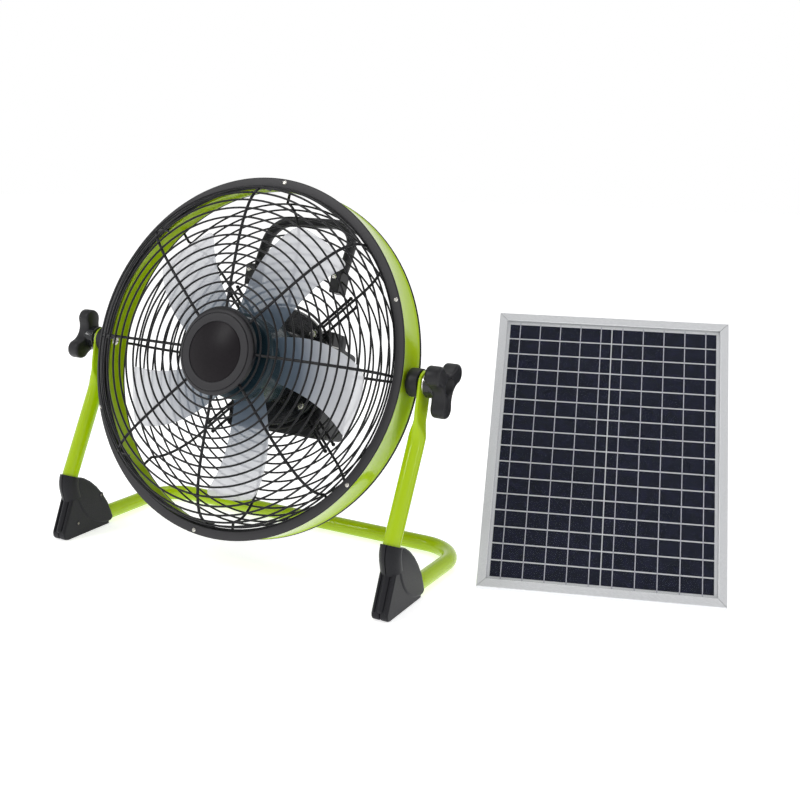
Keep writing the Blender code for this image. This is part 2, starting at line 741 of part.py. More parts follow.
def make_case_contents(side):
    box(
        "battery_pack",
        (-0.065, CASE_BOTTOM + 0.006, -0.140),
        (0.060, -0.020, CASE_FRONT - 0.006),
        BATTERY_WRAP,
        head,
        0.002,
    )
    box("control_board", (-0.055, 0.018, -0.0905), (0.055, 0.050, -0.0889), BOARD_GREEN, head)
    low, high = (-0.009, -0.009, CASE_BACK + 0.0030), (0.009, 0.009, CASE_BACK + 0.0120)
    pot = box("speed_control", low, high, STEEL, head)
    bore = rod(
        "speed_control_bore", KNOB_SHAFT + GAP, CASE_BACK, CASE_BACK + 0.0105, None, head, cutter=True
    )
    cut(pot, bore)
    face = CASE_BACK - GAP
    profile = [
        (0, face - 0.0150),
        (0.0125, face - 0.0150),
        (0.0140, face - 0.0135),
        (0.0160, face - 0.0020),
        (0.0160, face),
        (KNOB_SHAFT, face),
        (KNOB_SHAFT, CASE_BACK + 0.0095),
        (0, CASE_BACK + 0.0095),
    ]
    knob = turned("speed_knob", profile, BLACK_PLASTIC, head)
    low, high = (-0.0008, 0.006, face - 0.0160), (0.0008, 0.013, face - 0.0140)
    cut(knob, box("speed_knob_mark", low, high, None, head, cutter=True))
    low = (LENS_LEFT + GAP, GAP - LENS_HALF_HEIGHT, CASE_BACK - 0.0008)
    high = (LENS_RIGHT - GAP, LENS_HALF_HEIGHT - GAP, CASE_BACK + 0.0035)
    box("charge_lens", low, high, RED_LENS, head)
    wall = CASE_HALF_WIDTH
    low = (wall - 0.0140, USB_LOW[0] + GAP, USB_LOW[1] + GAP)
    high = (wall + 0.0006, USB_HIGH[0] - GAP, USB_HIGH[1] - GAP)
    usb = box("usb_socket", low, high, STEEL, head)
    low = (wall - 0.0025, USB_LOW[0] + 0.0020, USB_LOW[1] + 0.0015)
    high = (wall + 0.0100, USB_HIGH[0] - 0.0020, USB_HIGH[1] - 0.0015)
    cut(usb, box("usb_slot", low, high, None, head, cutter=True))
    profile = [
        (0.0028, wall + 0.0015),
        (0.0075, wall + 0.0015),
        (0.0075, wall + GAP),
        (0.0057, wall + GAP),
        (0.0057, wall - 0.0120),
        (0, wall - 0.0120),
        (0, wall - 0.0020),
        (0.0028, wall - 0.0020),
    ]
    turned("charge_socket", profile, BLACK_PLASTIC, side, SMALL_SEGMENTS)


# ---------------------------------------------------------------- handle
def make_handle():
    x, y, z = HANDLE_FOOT
    corners = [(x, y - 0.012, z), (x, y + 0.010, z), (x, HANDLE_TOP_HEIGHT, HANDLE_TOP_BACK)]
    corners += [(-cx, cy, cz) for cx, cy, cz in reversed(corners)]
    path = rounded_path(corners, HANDLE_BENDS, radians(20))
    grip = wires("carry_handle", [path], HANDLE_RADIUS, BLACK_PLASTIC, head, 3)
    for side, sign in (("left", -1), ("right", 1)):
        left, right = sign * x - CLAMP_HALF_WIDTH, sign * x + CLAMP_HALF_WIDTH
        low = (left, y - CLAMP_BELOW, z - 0.006)
        high = (right, y + CLAMP_ABOVE, REAR_FLAT - RING_OFFSET - RING_WIRE - GAP)
        join(grip, box(f"{side}_handle_foot", low, high, None, head, cutter=True))
        low = (left, y - CLAMP_BELOW, REAR_FLAT - RING_OFFSET + RING_WIRE + GAP)
        high = (right, y + CLAMP_ABOVE, REAR_FLAT + 0.0050)
        box(f"{side}_handle_clamp", low, high, BLACK_PLASTIC, head, 0.0012)


# ---------------------------------------------------------------- stand
def stand_path():
    """The tube's middle line, from the right leg's top round behind the fan to the left leg's top."""
    upper = Vector((LEG_X, -0.012, 0.215))
    pivot = Vector((LEG_X, 0, PIVOT_HEIGHT))
    top = pivot + (pivot - upper).normalized() * LEG_PLATE_TOP
    right = [
        top,
        upper,
        Vector((LEG_X, -0.085, 0.070)),
        Vector((LEG_X, -0.074, 0.014)),
        Vector((LEG_X, REAR_RUN_Y, REAR_RUN_Z)),
    ]
    corners = right + [Vector((-c.x, c.y, c.z)) for c in reversed(right)]
    radii = (0.150, 0.030, 0.034, REAR_CORNER_RADIUS)
    path = rounded_path(corners, radii + tuple(reversed(radii)))
    return path


def with_stops(path, distances):
    """The path with more points at these distances from each of its ends."""
    for _ in range(2):
        for distance in distances:
            travelled = 0.0
            for index in range(len(path) - 1):
                step = (path[index + 1] - path[index]).length
                if travelled < distance < travelled + step:
                    path.insert(index + 1, path[index].lerp(path[index + 1], (distance - travelled) / step))
                    break
                travelled += step
        path = path[::-1]
    return path


def make_stand():
    path = stand_path()
    stops = [LEG_PLATE_TOP, FLAT_LENGTH + 0.010]
    stops += [FLAT_LENGTH + 0.010 + FLARE_LENGTH * share for share in (0.25, 0.5, 0.75, 1.0)]
    tube = wires("stand_tube", [with_stops(path, stops)], TUBE_RADIUS, GREEN_PAINT, root, TUBE_SIDES)
    top = path[0]
    down = (path[1] - path[0]).normalized()
    widest = LEG_PLATE_HALF_WIDTH / TUBE_RADIUS
    thinnest = LEG_PLATE_THICKNESS / 2 / TUBE_RADIUS
    for vertex in tube.data.vertices:
        at = vertex.co.copy()
        side = 1 if at.x > 0 else -1
        reach = Vector((0, at.y - top.y, at.z - top.z))
        along = reach.dot(down)
        if along > FLAT_LENGTH + 0.010 + FLARE_LENGTH or at.z < PIVOT_HEIGHT - 0.09:
            continue
        share = max(0.0, min(1.0, (along - FLAT_LENGTH - 0.010) / FLARE_LENGTH))
        share = share * share * (3 - 2 * share)
        across = reach - down * along
        flat = widest + (1 - widest) * share
        if along < 0.002:
            along = LEG_PLATE_TOP * (1 - sqrt(max(0.0, 1 - (across.length / (TUBE_RADIUS * 1.02)) ** 2)))
        moved = Vector((0, top.y, top.z)) + down * along + across * flat
        thin = thinnest + (1 - thinnest) * share
        vertex.co = (side * LEG_X + (at.x - side * LEG_X) * thin, moved.y, moved.z)
    for side, frame in side_frames.items():
        low, high = LEG_X - 0.01, LEG_X + 0.01
        cut(tube, rod(f"{side}_leg_hole", BOLT_HOLE_RADIUS, low, high, None, frame, cutter=True))
    return path




def foot_outline():
    """The foot seen from the side, as (towards the back, up): toe, sleeve, then the round gusset."""
    outline = [
        (-0.0080, 0.0000),
        (-0.1000, 0.0000),
        (-0.1055, 0.0060),
        (-0.1060, 0.0150),
        (-0.0880, 0.0590),
        (-0.0905, 0.0780),
        (-0.0915, 0.0960),
        (-0.0575, 0.0890),
    ]
    steps = 6
    centre = (-0.0800, 0.0080)
    for step in range(1, steps + 1):
        turn = radians(72 * (1 - step / steps))
        outline.append((centre[0] + 0.0760 * cos(turn), centre[1] + 0.0820 * sin(turn)))
    outline.append((-0.0045, 0.0030))
    return outline


def make_feet(path):
    bore = wires(
        "foot_bore", [path], TUBE_RADIUS + FOOT_CLEARANCE, None, root, TUBE_SIDES, cutter=True
    )
    for side, sign in (("left", -1), ("right", 1)):
        for shell, near, far in (("inner", -FOOT_HALF_WIDTH, -GAP / 2), ("outer", GAP / 2, FOOT_HALF_WIDTH)):
            ends = sorted((sign * (LEG_X + near), sign * (LEG_X + far)))
            made = prism(
                f"{side}_foot_{shell}", foot_outline(), ends[0], ends[1], BLACK_PLASTIC, profile_frame
            )
            cut(made, bore)
            if shell == "inner":
                for index, (y, z) in enumerate(FOOT_SCREWS):
                    face = sign * (LEG_X - FOOT_HALF_WIDTH)
                    low, high = sorted((face - sign * 0.002, face + sign * 0.004))
                    well = rod(
                        f"{side}_foot_well_{index}", 0.0032, low, high, None, profile_frame, 12,
                        cutter=True, place=(y, z),
                    )
                    cut(made, well)


# ---------------------------------------------------------------- pivot hardware and clamp knobs
def knob_outline(turned_by):
    """Three round lobes joined by hollow waists."""
    outline = []
    lobe_centre = KNOB_REACH - KNOB_LOBE_RADIUS
    for lobe in range(3):
        middle = turned_by + lobe * 2 * pi / 3
        for step in range(-4, 5):
            turn = middle + step * radians(100) / 4
            outline.append(
                (
                    lobe_centre * cos(middle) + KNOB_LOBE_RADIUS * cos(turn),
                    lobe_centre * sin(middle) + KNOB_LOBE_RADIUS * sin(turn),
                )
            )
        waist = middle + pi / 3
        for share in (-0.30, 0.0, 0.30):
            radius = 0.0165 + 0.020 * share**2
            outline.append((radius * cos(waist + share), radius * sin(waist + share)))
    return outline


def make_pivot(side, frame, turned_by):
    wall = DRUM_RADIUS - DRUM_WALL - BEAD
    head_top = BOLT_HEAD_INNER
    profile = [
        (0, head_top),
        (0.0040, head_top + 0.0004),
        (0.0062, head_top + 0.0016),
        (0.0066, wall - 0.0012),
        (BOLT_RADIUS, wall - 0.0012),
        (BOLT_RADIUS, BOLT_END),
        (0, BOLT_END),
    ]
    turned(f"{side}_pivot_bolt", profile, STEEL, frame, SMALL_SEGMENTS)
    plate_in = LEG_X - LEG_PLATE_THICKNESS / 2
    plate_out = LEG_X + LEG_PLATE_THICKNESS / 2
    bore = BOLT_RADIUS + GAP
    profile = [
        (BOSS_RADIUS - 0.003, BOSS_INNER),
        (BOSS_RADIUS, BOSS_INNER + 0.003),
        (BOSS_RADIUS, plate_in - GAP),
        (bore, plate_in - GAP),
        (bore, BOSS_INNER),
    ]
    turned(f"{side}_spacer_boss", profile, BLACK_PLASTIC, frame)
    washer_in = plate_out + GAP
    washer_out = washer_in + WASHER_THICKNESS
    ring(f"{side}_washer", bore, WASHER_RADIUS, washer_in, washer_out, STEEL, frame, 24)
    knob = prism(
        f"{side}_clamp_knob", knob_outline(turned_by), KNOB_LOBE_BACK, KNOB_FACE, BLACK_PLASTIC, frame
    )
    rounded(knob, 0.0022, 1)
    neck_in = washer_out + GAP
    low, high = neck_in, KNOB_LOBE_BACK + 0.004
    neck = rod(f"{side}_knob_neck", KNOB_NECK_RADIUS, low, high, None, frame, MEDIUM_SEGMENTS, True)
    join(knob, neck)
    recess = rod(
        f"{side}_knob_recess",
        KNOB_RECESS_RADIUS,
        KNOB_FACE - KNOB_RECESS_DEPTH,
        KNOB_FACE + 0.01,
        None,
        frame,
        20,
        True,
    )
    pocket_out = neck_in + 0.013
    pocket = rod(f"{side}_nut_pocket", NUT_RADIUS + GAP, neck_in - 0.002, pocket_out, None, frame, 6, True)
    hole = rod(f"{side}_knob_bore", bore, neck_in, KNOB_FACE, None, frame, cutter=True)
    cut(knob, recess, pocket, hole)
    nut = rod(f"{side}_knob_nut", NUT_RADIUS, neck_in + GAP, pocket_out - GAP, BRASS, frame, 6)
    cut(nut, rod(f"{side}_nut_bore", bore, neck_in - 0.01, pocket_out + 0.01, None, frame, cutter=True))


# ---------------------------------------------------------------- solar panel
def rail_section():
    """The rail: outer wall, front lip, glass shelf and rear flange, as (in from the edge, depth)."""
    return [
        (0, 0),
        (RAIL_FLANGE, 0),
        (RAIL_FLANGE, 0.0014),
        (RAIL_WALL, 0.0014),
        (RAIL_WALL, SHELF_TOP - 0.0013),
        (RAIL_SHELF, SHELF_TOP - 0.0013),
        (RAIL_SHELF, SHELF_TOP),
        (RAIL_WALL, SHELF_TOP),
        (RAIL_WALL, PANEL_DEPTH - 0.0018),
        (RAIL_LIP, PANEL_DEPTH - 0.0018),
        (RAIL_LIP, PANEL_DEPTH - 0.0004),
        (RAIL_LIP - 0.0006, PANEL_DEPTH),
        (0.0006, PANEL_DEPTH),
        (0, PANEL_DEPTH - 0.0006),
    ]


def rail(name, length, middle, turn, frame):
    """A mitred rail: its outer edge along X through middle, its inside towards +Y before turning."""
    mesh = bpy.data.meshes.new(name)
    shape = bmesh.new()
    ends = []
    for end in (-1, 1):
        reach = length / 2 - GAP
        corners = [(end * (reach - inset), inset, depth) for inset, depth in rail_section()]
        ends.append([shape.verts.new(corner) for corner in corners])
    count = len(ends[0])
    for index in range(count):
        after = (index + 1) % count
        shape.faces.new((ends[0][index], ends[0][after], ends[1][after], ends[1][index]))
    shape.faces.new(ends[0])
    shape.faces.new(ends[1])
    bmesh.ops.recalc_face_normals(shape, faces=shape.faces)
    bmesh.ops.rotate(shape, verts=shape.verts, cent=(0, 0, 0), matrix=Matrix.Rotation(turn, 3, "Z"))
    bmesh.ops.translate(shape, verts=shape.verts, vec=(middle[0], middle[1], 0))
    shape.to_mesh(mesh)
    shape.free()
    return add(name, mesh, ALUMINIUM, frame)


def make_panel():
    frame = empty("panel_frame_axes", PANEL_BASE, (pi / 2 - PANEL_LEAN, 0, PANEL_YAW), root)
    half, tall = PANEL_WIDTH / 2, PANEL_HEIGHT
    rail("panel_bottom_rail", PANEL_WIDTH, (0, 0), 0, frame)
    rail("panel_top_rail", PANEL_WIDTH, (0, tall), pi, frame)
    rail("panel_left_rail", PANEL_HEIGHT, (-half, tall / 2), -pi / 2, frame)
    rail("panel_right_rail", PANEL_HEIGHT, (half, tall / 2), pi / 2, frame)
    edge = RAIL_WALL + GAP
    layers = (
        ("panel_backsheet", 0.0005, WHITE_SHEET),
        ("solar_cell_sheet", 0.0005, CELLS),
        ("panel_glass", 0.0022, GLASS),
    )
    depth = SHELF_TOP + GAP
    for name, thick, look in layers:
        box(name, (edge - half, edge, depth), (half - edge, tall - edge, depth + thick), look, frame)
        depth += thick + GAP
    back = SHELF_TOP
    base, top = 0.300, 0.345
    hollow = 0.002
    made = box("junction_box", (-0.030, base, 0.0016), (0.030, top, back), BLACK_PLASTIC, frame)
    low, high = (hollow - 0.030, base + hollow, -0.01), (0.030 - hollow, top - hollow, back - hollow)
    inside = box("junction_hollow", low, high, None, frame, cutter=True)
    gland_frame = empty("gland_frame", (0, base, 0.0062), (pi / 2, 0, 0), frame)
    hole = rod("gland_hole", 0.0026, -0.01, 0.01, None, gland_frame, cutter=True)
    cut(made, inside, hole)
    low, high = (-0.031, base - 0.001, -0.0012), (0.031, top + 0.001, 0.0013)
    box("junction_lid", low, high, BLACK_PLASTIC, frame, 0.0006)
    profile = [
        (0.0016, 0.0120),
        (0.0030, 0.0120),
        (0.0042, 0.0080),
        (0.0042, GAP),
        (0.0023, GAP),
        (0.0023, -0.0030),
        (0.0016, -0.0030),
    ]
    turned("cable_gland", profile, BLACK_PLASTIC, gland_frame, SMALL_SEGMENTS)
    make_support_leg(frame)


def support_leg_angle():
    """How far the leg stands out from lying along the panel's back, with its bar on the floor."""
    height = LEG_PIVOT_UP * cos(PANEL_LEAN) + LEG_PIVOT_BACK * sin(PANEL_LEAN)
    drop = height - LEG_RADIUS
    out = sqrt(LEG_LENGTH**2 - drop**2)
    along = out * sin(PANEL_LEAN) - drop * cos(PANEL_LEAN)
    away = out * cos(PANEL_LEAN) + drop * sin(PANEL_LEAN)
    return atan2(away, -along)


def make_support_leg(frame):
    place = (0, LEG_PIVOT_UP, LEG_PIVOT_BACK)
    axis = empty("support_leg_axis", place, (support_leg_angle(), 0, 0), frame)
    x = LEG_ARM_X
    corners = [(x, 0.007, 0), (x, -LEG_LENGTH, 0), (-x, -LEG_LENGTH, 0), (-x, 0.007, 0)]
    path = rounded_path(corners, (0.018, 0.018), radians(20))
    leg = wires("support_leg", [path], LEG_RADIUS, ALUMINIUM, axis, 2)
    for side, sign in (("left", -1), ("right", 1)):
        across = empty(f"{side}_pin_axis", place, (0, sign * pi / 2, 0), frame)
        cut(leg, rod(f"{side}_arm_hole", PIN_HOLE_RADIUS, x - 0.01, x + 0.01, None, across, 12, True))
        lug_in, lug_out = x + LEG_RADIUS + 0.0010, x + LEG_RADIUS + 0.0026
        low, high = sorted((sign * lug_in, sign * lug_out))
        bracket = box(
            f"{side}_leg_bracket",
            (low, LEG_PIVOT_UP - 0.010, LEG_PIVOT_BACK - 0.006),
            (high, LEG_PIVOT_UP + 0.010, -GAP),
            STEEL,
            frame,
        )
        low, high = sorted((sign * lug_in, sign * (lug_out + 0.013)))
        base = box(
            f"{side}_bracket_base",
            (low, LEG_PIVOT_UP - 0.0101, -GAP - 0.0016),
            (high, LEG_PIVOT_UP + 0.0101, -GAP),
            None,
            frame,
            cutter=True,
        )
        join(bracket, base)
        low, high = lug_in - 0.01, lug_out + 0.01
        cut(bracket, rod(f"{side}_lug_hole", PIN_HOLE_RADIUS, low, high, None, across, 12, True))
        profile = [
            (0, lug_out + 0.0022),
            (0.0036, lug_out + 0.0022),
            (0.0036, lug_out + GAP),
            (PIN_RADIUS, lug_out + GAP),
            (PIN_RADIUS, x - LEG_RADIUS - 0.0015),
            (0, x - LEG_RADIUS - 0.0015),
        ]
        turned(f"{side}_leg_pin", profile, STEEL, across, 12)


def stand_on_origin():
    """Moves the assembly so that the middle of its bounding box's bottom is the origin."""
    bpy.context.view_layer.update()
    graph = bpy.context.evaluated_depsgraph_get()
    points = []
    for made in parts.objects:
        if made.type == "MESH":
            evaluated = made.evaluated_get(graph)
            mesh = evaluated.to_mesh()
            points += [evaluated.matrix_world @ vertex.co for vertex in mesh.vertices]
            evaluated.to_mesh_clear()
    low = [min(point[axis] for point in points) for axis in range(3)]
    high = [max(point[axis] for point in points) for axis in range(3)]
    root.location = (-(low[0] + high[0]) / 2, -(low[1] + high[1]) / 2, -low[2])
    bpy.context.view_layer.update()


make_drum()
make_rim_band()
make_front_guard()
make_rear_guard()
make_hub_cover()
make_motor()
make_fan()
make_case_front()
make_case_contents(make_case_rear())
make_handle()
make_feet(make_stand())
make_pivot("left", side_frames["left"], radians(90))
make_pivot("right", side_frames["right"], radians(-96))
make_panel()
stand_on_origin()
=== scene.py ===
"""The looks of a rechargeable drum fan and its solar panel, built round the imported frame.

Metres. These axes carry the shapes: HEAD (X across, Y up the tilted head, Z forwards along the fan's axis, from
the middle of the pivot line), SIDES (Z outwards along the pivot line), STAND (the world's, from the floor under
the pivot line), PROFILE (the stand from its right side: X backwards, Y up) and PANEL (X across, Y up the panel,
Z out of its face, from the middle of its bottom edge). Places come from the frame's joints, mounts and node boxes.
"""

import json
from math import acos, asin, atan2, ceil, copysign, cos, hypot, pi, radians, sin, sqrt, tan, tau

import bmesh
import bpy
from mathutils import Matrix, Vector


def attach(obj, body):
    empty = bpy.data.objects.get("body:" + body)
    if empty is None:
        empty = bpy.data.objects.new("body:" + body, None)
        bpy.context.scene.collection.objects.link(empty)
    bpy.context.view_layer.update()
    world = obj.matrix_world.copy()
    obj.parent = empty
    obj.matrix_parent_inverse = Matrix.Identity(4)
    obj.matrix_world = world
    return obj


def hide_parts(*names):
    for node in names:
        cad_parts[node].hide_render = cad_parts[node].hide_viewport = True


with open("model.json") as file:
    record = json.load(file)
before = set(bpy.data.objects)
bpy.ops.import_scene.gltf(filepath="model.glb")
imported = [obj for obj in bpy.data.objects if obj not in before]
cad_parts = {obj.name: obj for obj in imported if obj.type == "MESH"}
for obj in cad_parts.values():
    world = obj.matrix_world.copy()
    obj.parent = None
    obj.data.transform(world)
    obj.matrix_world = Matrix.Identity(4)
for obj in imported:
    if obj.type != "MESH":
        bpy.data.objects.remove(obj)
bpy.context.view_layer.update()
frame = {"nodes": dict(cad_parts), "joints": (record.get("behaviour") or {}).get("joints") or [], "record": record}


# ---- axes taken from the frame
def axes(x, y, z, origin):
    made = Matrix((x, y, z)).transposed().to_4x4()
    made.translation = origin
    return made


def extent(place, *names):
    """The lowest and highest corner of some CAD nodes along the axes of place."""
    inverse = place.inverted()
    points = [inverse @ v.co for name in names for v in frame["nodes"][name].data.vertices]
    low = Vector([min(p[i] for p in points) for i in range(3)])
    high = Vector([max(p[i] for p in points) for i in range(3)])
    return low, high


def add_object(name, data, place):
    made = bpy.data.objects.new(name, data)
    made.matrix_world = place
    bpy.context.scene.collection.objects.link(made)
    return made


joints = {joint["name"]: joint for joint in frame["joints"]}
mounts = {mount["name"]: mount for mount in frame["record"]["mounts"]}
ACROSS = Vector((1, 0, 0))
BEHIND = Vector((0, 1, 0))
ABOVE = Vector((0, 0, 1))
PIVOT = Vector(joints["fan_spin"]["pos_m"])
FORWARD = Vector(joints["fan_spin"]["axis"]).normalized()
HEAD = axes(ACROSS, FORWARD.cross(ACROSS), FORWARD, PIVOT)
SIDES = {"left": axes(-BEHIND, ABOVE, -ACROSS, PIVOT), "right": axes(BEHIND, ABOVE, ACROSS, PIVOT)}
FLOOR_POINT = Vector((PIVOT.x, PIVOT.y, 0))
STAND = Matrix.Translation(FLOOR_POINT)
PROFILE = axes(BEHIND, ABOVE, ACROSS, FLOOR_POINT)

bottom_flange = Vector(mounts["panel_bottom_flange"]["pos_m"])
top_flange = Vector(mounts["panel_top_flange"]["pos_m"])
panel_up = (top_flange - bottom_flange).normalized()
panel_out = -Vector(mounts["panel_bottom_flange"]["axis"]).normalized()
PANEL = axes(panel_up.cross(panel_out), panel_up, panel_out, bottom_flange)
PANEL.translation = bottom_flange + panel_up * extent(PANEL, "panel_bottom_rail")[0].y


# ---- camera
CAMERA_AZIMUTH = radians(27.4)
CAMERA_ELEVATION = radians(13.52)
CAMERA_ROLL = radians(1.55)
CAMERA_DISTANCE = 1.44525
CAMERA_ASIDE = 0.19966
CAMERA_TARGET_HEIGHT = 0.2238
CAMERA_LENS = 48.59


def make_camera():
    level = cos(CAMERA_ELEVATION)
    back = Vector((sin(CAMERA_AZIMUTH) * level, -cos(CAMERA_AZIMUTH) * level, sin(CAMERA_ELEVATION)))
    right = Vector((cos(CAMERA_AZIMUTH), sin(CAMERA_AZIMUTH), 0))
    up = back.cross(right)
    rolled_right = right * cos(CAMERA_ROLL) + up * sin(CAMERA_ROLL)
    rolled_up = up * cos(CAMERA_ROLL) - right * sin(CAMERA_ROLL)
    target = FLOOR_POINT + right * CAMERA_ASIDE + ABOVE * CAMERA_TARGET_HEIGHT
    data = bpy.data.cameras.new("camera")
    data.sensor_width = 36
    data.lens = CAMERA_LENS
    data.clip_end = 50
    place = axes(rolled_right, rolled_up, back, target + back * CAMERA_DISTANCE)
    bpy.context.scene.camera = add_object("camera", data, place)


make_camera()


# ---- materials
def set_inputs(tree, node, inputs):
    """Gives a node's inputs their values, and links each one whose value is another node's output."""
    for name, value in inputs.items():
        if isinstance(value, bpy.types.NodeSocket):
            tree.links.new(value, node.inputs[name])
        else:
            node.inputs[name].default_value = value


def add_node(tree, kind, inputs):
    made = tree.nodes.new("ShaderNode" + kind)
    set_inputs(tree, made, inputs)
    return made


def new_material(name):
    made = bpy.data.materials.new(name)
    made.use_nodes = True
    return made, made.node_tree, made.node_tree.nodes["Principled BSDF"]


def object_coordinates(tree, stretch):
    """Coordinates fixed to the piece, so that the pattern moves with it."""
    coordinates = add_node(tree, "TexCoord", {}).outputs["Object"]
    return add_node(tree, "Mapping", {"Vector": coordinates, "Scale": stretch}).outputs["Vector"]


def noise(tree, vector, scale, detail=3.0):
    return add_node(tree, "TexNoise", {"Vector": vector, "Scale": scale, "Detail": detail}).outputs["Fac"]


def ramp(tree, factor, stops):
    """A colour ramp of (place, colour) stops."""
    made = add_node(tree, "ValToRGB", {"Fac": factor})
    elements = made.color_ramp.elements
    while len(elements) < len(stops):
        elements.new(0.5)
    for element, (place, colour) in zip(elements, stops):
        element.position = place
        element.color = (*colour, 1.0)
    return made.outputs["Color"]


def spread(tree, factor, low, high):
    """Spreads the middle of a noise's range over the values from low to high."""
    span = {"Value": factor, "From Min": 0.3, "From Max": 0.7, "To Min": low, "To Max": high}
    return add_node(tree, "MapRange", span).outputs["Result"]


def bump(tree, height, depth):
    return add_node(tree, "Bump", {"Height": height, "Strength": 1.0, "Distance": depth}).outputs["Normal"]


def scaled(colour, factor):
    return tuple(min(1.0, channel * factor) for channel in colour)


def surface(name, colour, rough, vary=0.10, vary_scale=40.0, grain_scale=2500.0, grain_depth=0.00002,
            rough_spread=0.06, metallic=0.0, coat=0.0, specular=0.3, stretch=(1, 1, 1)):
    """A painted, moulded or metal surface: cloudy colour, uneven gloss and a fine grain."""
    made, tree, shader = new_material(name)
    vector = object_coordinates(tree, stretch)
    stops = [(0.3, scaled(colour, 1 - vary)), (0.7, scaled(colour, 1 + vary))]
    grain = noise(tree, vector, grain_scale, 2.0)
    set_inputs(tree, shader, {
        "Base Color": ramp(tree, noise(tree, vector, vary_scale), stops),
        "Roughness": spread(tree, grain, rough - rough_spread, rough + rough_spread),
        "Normal": bump(tree, grain, grain_depth),
        "Metallic": metallic,
        "Coat Weight": coat,
        "Coat Roughness": 0.05,
        "Specular IOR Level": specular,
    })
    return made


def smoky_plastic():
    """Translucent blade plastic: its own smoky blue-grey at the hub, painted paler towards the tips as painted
    light coming through them, and a little clearer towards the tips.
    """
    made, tree, shader = new_material("smoky_blade_plastic")
    from_axis = add_node(tree, "VectorMath", {"Vector": object_coordinates(tree, (1, 1, 0))})
    from_axis.operation = "LENGTH"
    span = {"Value": from_axis.outputs["Value"], "From Min": 0.055, "From Max": 0.195}
    share = add_node(tree, "MapRange", span).outputs["Result"]
    # Painted light: the colour runs from the plastic's own blue-grey at the hub to near white at the tips.
    stops = [(0.0, (0.10, 0.15, 0.21)), (0.22, (0.17, 0.22, 0.29)), (0.55, (0.68, 0.70, 0.75)),
             (1.0, (0.96, 0.96, 0.99))]
    grain = noise(tree, object_coordinates(tree, (1, 1, 1)), 700.0, 2.0)
    set_inputs(tree, shader, {
        "Base Color": ramp(tree, share, stops),
        "Alpha": ramp(tree, share, [(0.0, (0.66,) * 3), (1.0, (0.58,) * 3)]),
        "Roughness": spread(tree, grain, 0.30, 0.38),
        "Normal": bump(tree, grain, 0.00002),
        "Specular IOR Level": 0.4,
    })
    return made


def brushed(name, colour, rough, along, metallic=1.0):
    """Metal with fine lines along one axis of the piece."""
    stretch = [1.0, 1.0, 1.0]
    stretch[along] = 0.02
    return surface(name, colour, rough, vary=0.06, vary_scale=900.0, grain_scale=2600.0, grain_depth=0.000012,
                   rough_spread=0.07, metallic=metallic, stretch=stretch)


def cell_silicon():
    """Dark blue polycrystalline silicon: faint crystals, and fine silver fingers across each cell."""
    made, tree, shader = new_material("cell_silicon")
    vector = object_coordinates(tree, (1, 1, 0))
    crystals = add_node(tree, "TexVoronoi", {"Vector": vector, "Scale": 160.0})
    shade = add_node(tree, "SeparateColor", {"Color": crystals.outputs["Color"]}).outputs["Red"]
    stops = [(0.0, (0.0020, 0.0024, 0.0080)), (0.5, (0.0032, 0.0036, 0.0130)),
             (1.0, (0.0060, 0.0060, 0.0210))]
    fingers = add_node(tree, "TexWave", {"Vector": vector, "Scale": 150.0})
    fingers.bands_direction = "Y"
    lines = ramp(tree, fingers.outputs["Fac"], [(0.90, (0.0, 0.0, 0.0)), (0.99, (0.011, 0.011, 0.020))])
    both = add_node(tree, "Mix", {})
    both.data_type = "RGBA"
    both.blend_type = "ADD"
    set_inputs(tree, both, {"Factor": 1.0, "A": ramp(tree, shade, stops), "B": lines})
    set_inputs(tree, shader, {
        "Base Color": both.outputs["Result"],
        "Roughness": spread(tree, noise(tree, vector, 30.0), 0.26, 0.40),
        "Specular IOR Level": 0.15,
    })
    return made


def clear_glass():
    made = surface("clear_glass", (0.10, 0.12, 0.15), 0.08, vary=0.01, grain_scale=60.0, grain_depth=0.000002,
                   rough_spread=0.02)
    made.node_tree.nodes["Principled BSDF"].inputs["Alpha"].default_value = 0.05
    return made


GREEN = surface("lime_paint", (0.385, 0.560, 0.003), 0.20, vary=0.05, vary_scale=14.0, grain_scale=700.0,
                grain_depth=0.000006, rough_spread=0.04, coat=0.45, specular=0.15)
BAND_PAINT = surface("charcoal_paint", (0.038, 0.037, 0.040), 0.42, vary=0.08, vary_scale=20.0)
EDGE_PAINT = surface("black_edge_paint", (0.008, 0.008, 0.009), 0.40)
WIRE = surface("black_wire_coat", (0.006, 0.006, 0.008), 0.34, vary=0.2, grain_scale=900.0)
COVER_PLASTIC = surface("charcoal_plastic", (0.027, 0.026, 0.029), 0.46, vary=0.08, grain_scale=3200.0,
                        grain_depth=0.00003)
LABEL_FILM = surface("label_film", (0.008, 0.006, 0.008), 0.36, vary=0.16, vary_scale=300.0,
                     grain_scale=3500.0, grain_depth=0.00001, specular=0.15)
BLACK_PLASTIC = surface("black_plastic", (0.013, 0.013, 0.015), 0.42, vary=0.12, grain_scale=2600.0,
                        grain_depth=0.00003)
FOOT_PLASTIC = surface("foot_plastic", (0.012, 0.012, 0.015), 0.34, vary=0.10, grain_scale=1800.0,
                       grain_depth=0.00006, rough_spread=0.10, specular=0.2)
CASE_PLASTIC = surface("case_plastic", (0.030, 0.030, 0.033), 0.55, vary=0.10, grain_scale=1500.0,
                       grain_depth=0.00008, rough_spread=0.10)
MOTOR_PAINT = surface("motor_enamel", (0.010, 0.011, 0.013), 0.24, vary=0.10, grain_scale=600.0, coat=0.4)
PALE_SEAL = surface("pale_seal", (0.55, 0.55, 0.55), 0.6)
HUB_PLASTIC = surface("hub_plastic", (0.016, 0.036, 0.050), 0.24, vary=0.15, grain_scale=2500.0,
                      grain_depth=0.000006, coat=0.2)
NICKEL = surface("nickel", (0.66, 0.64, 0.60), 0.24, vary=0.06, grain_scale=1800.0, grain_depth=0.00001,
                 metallic=1.0)
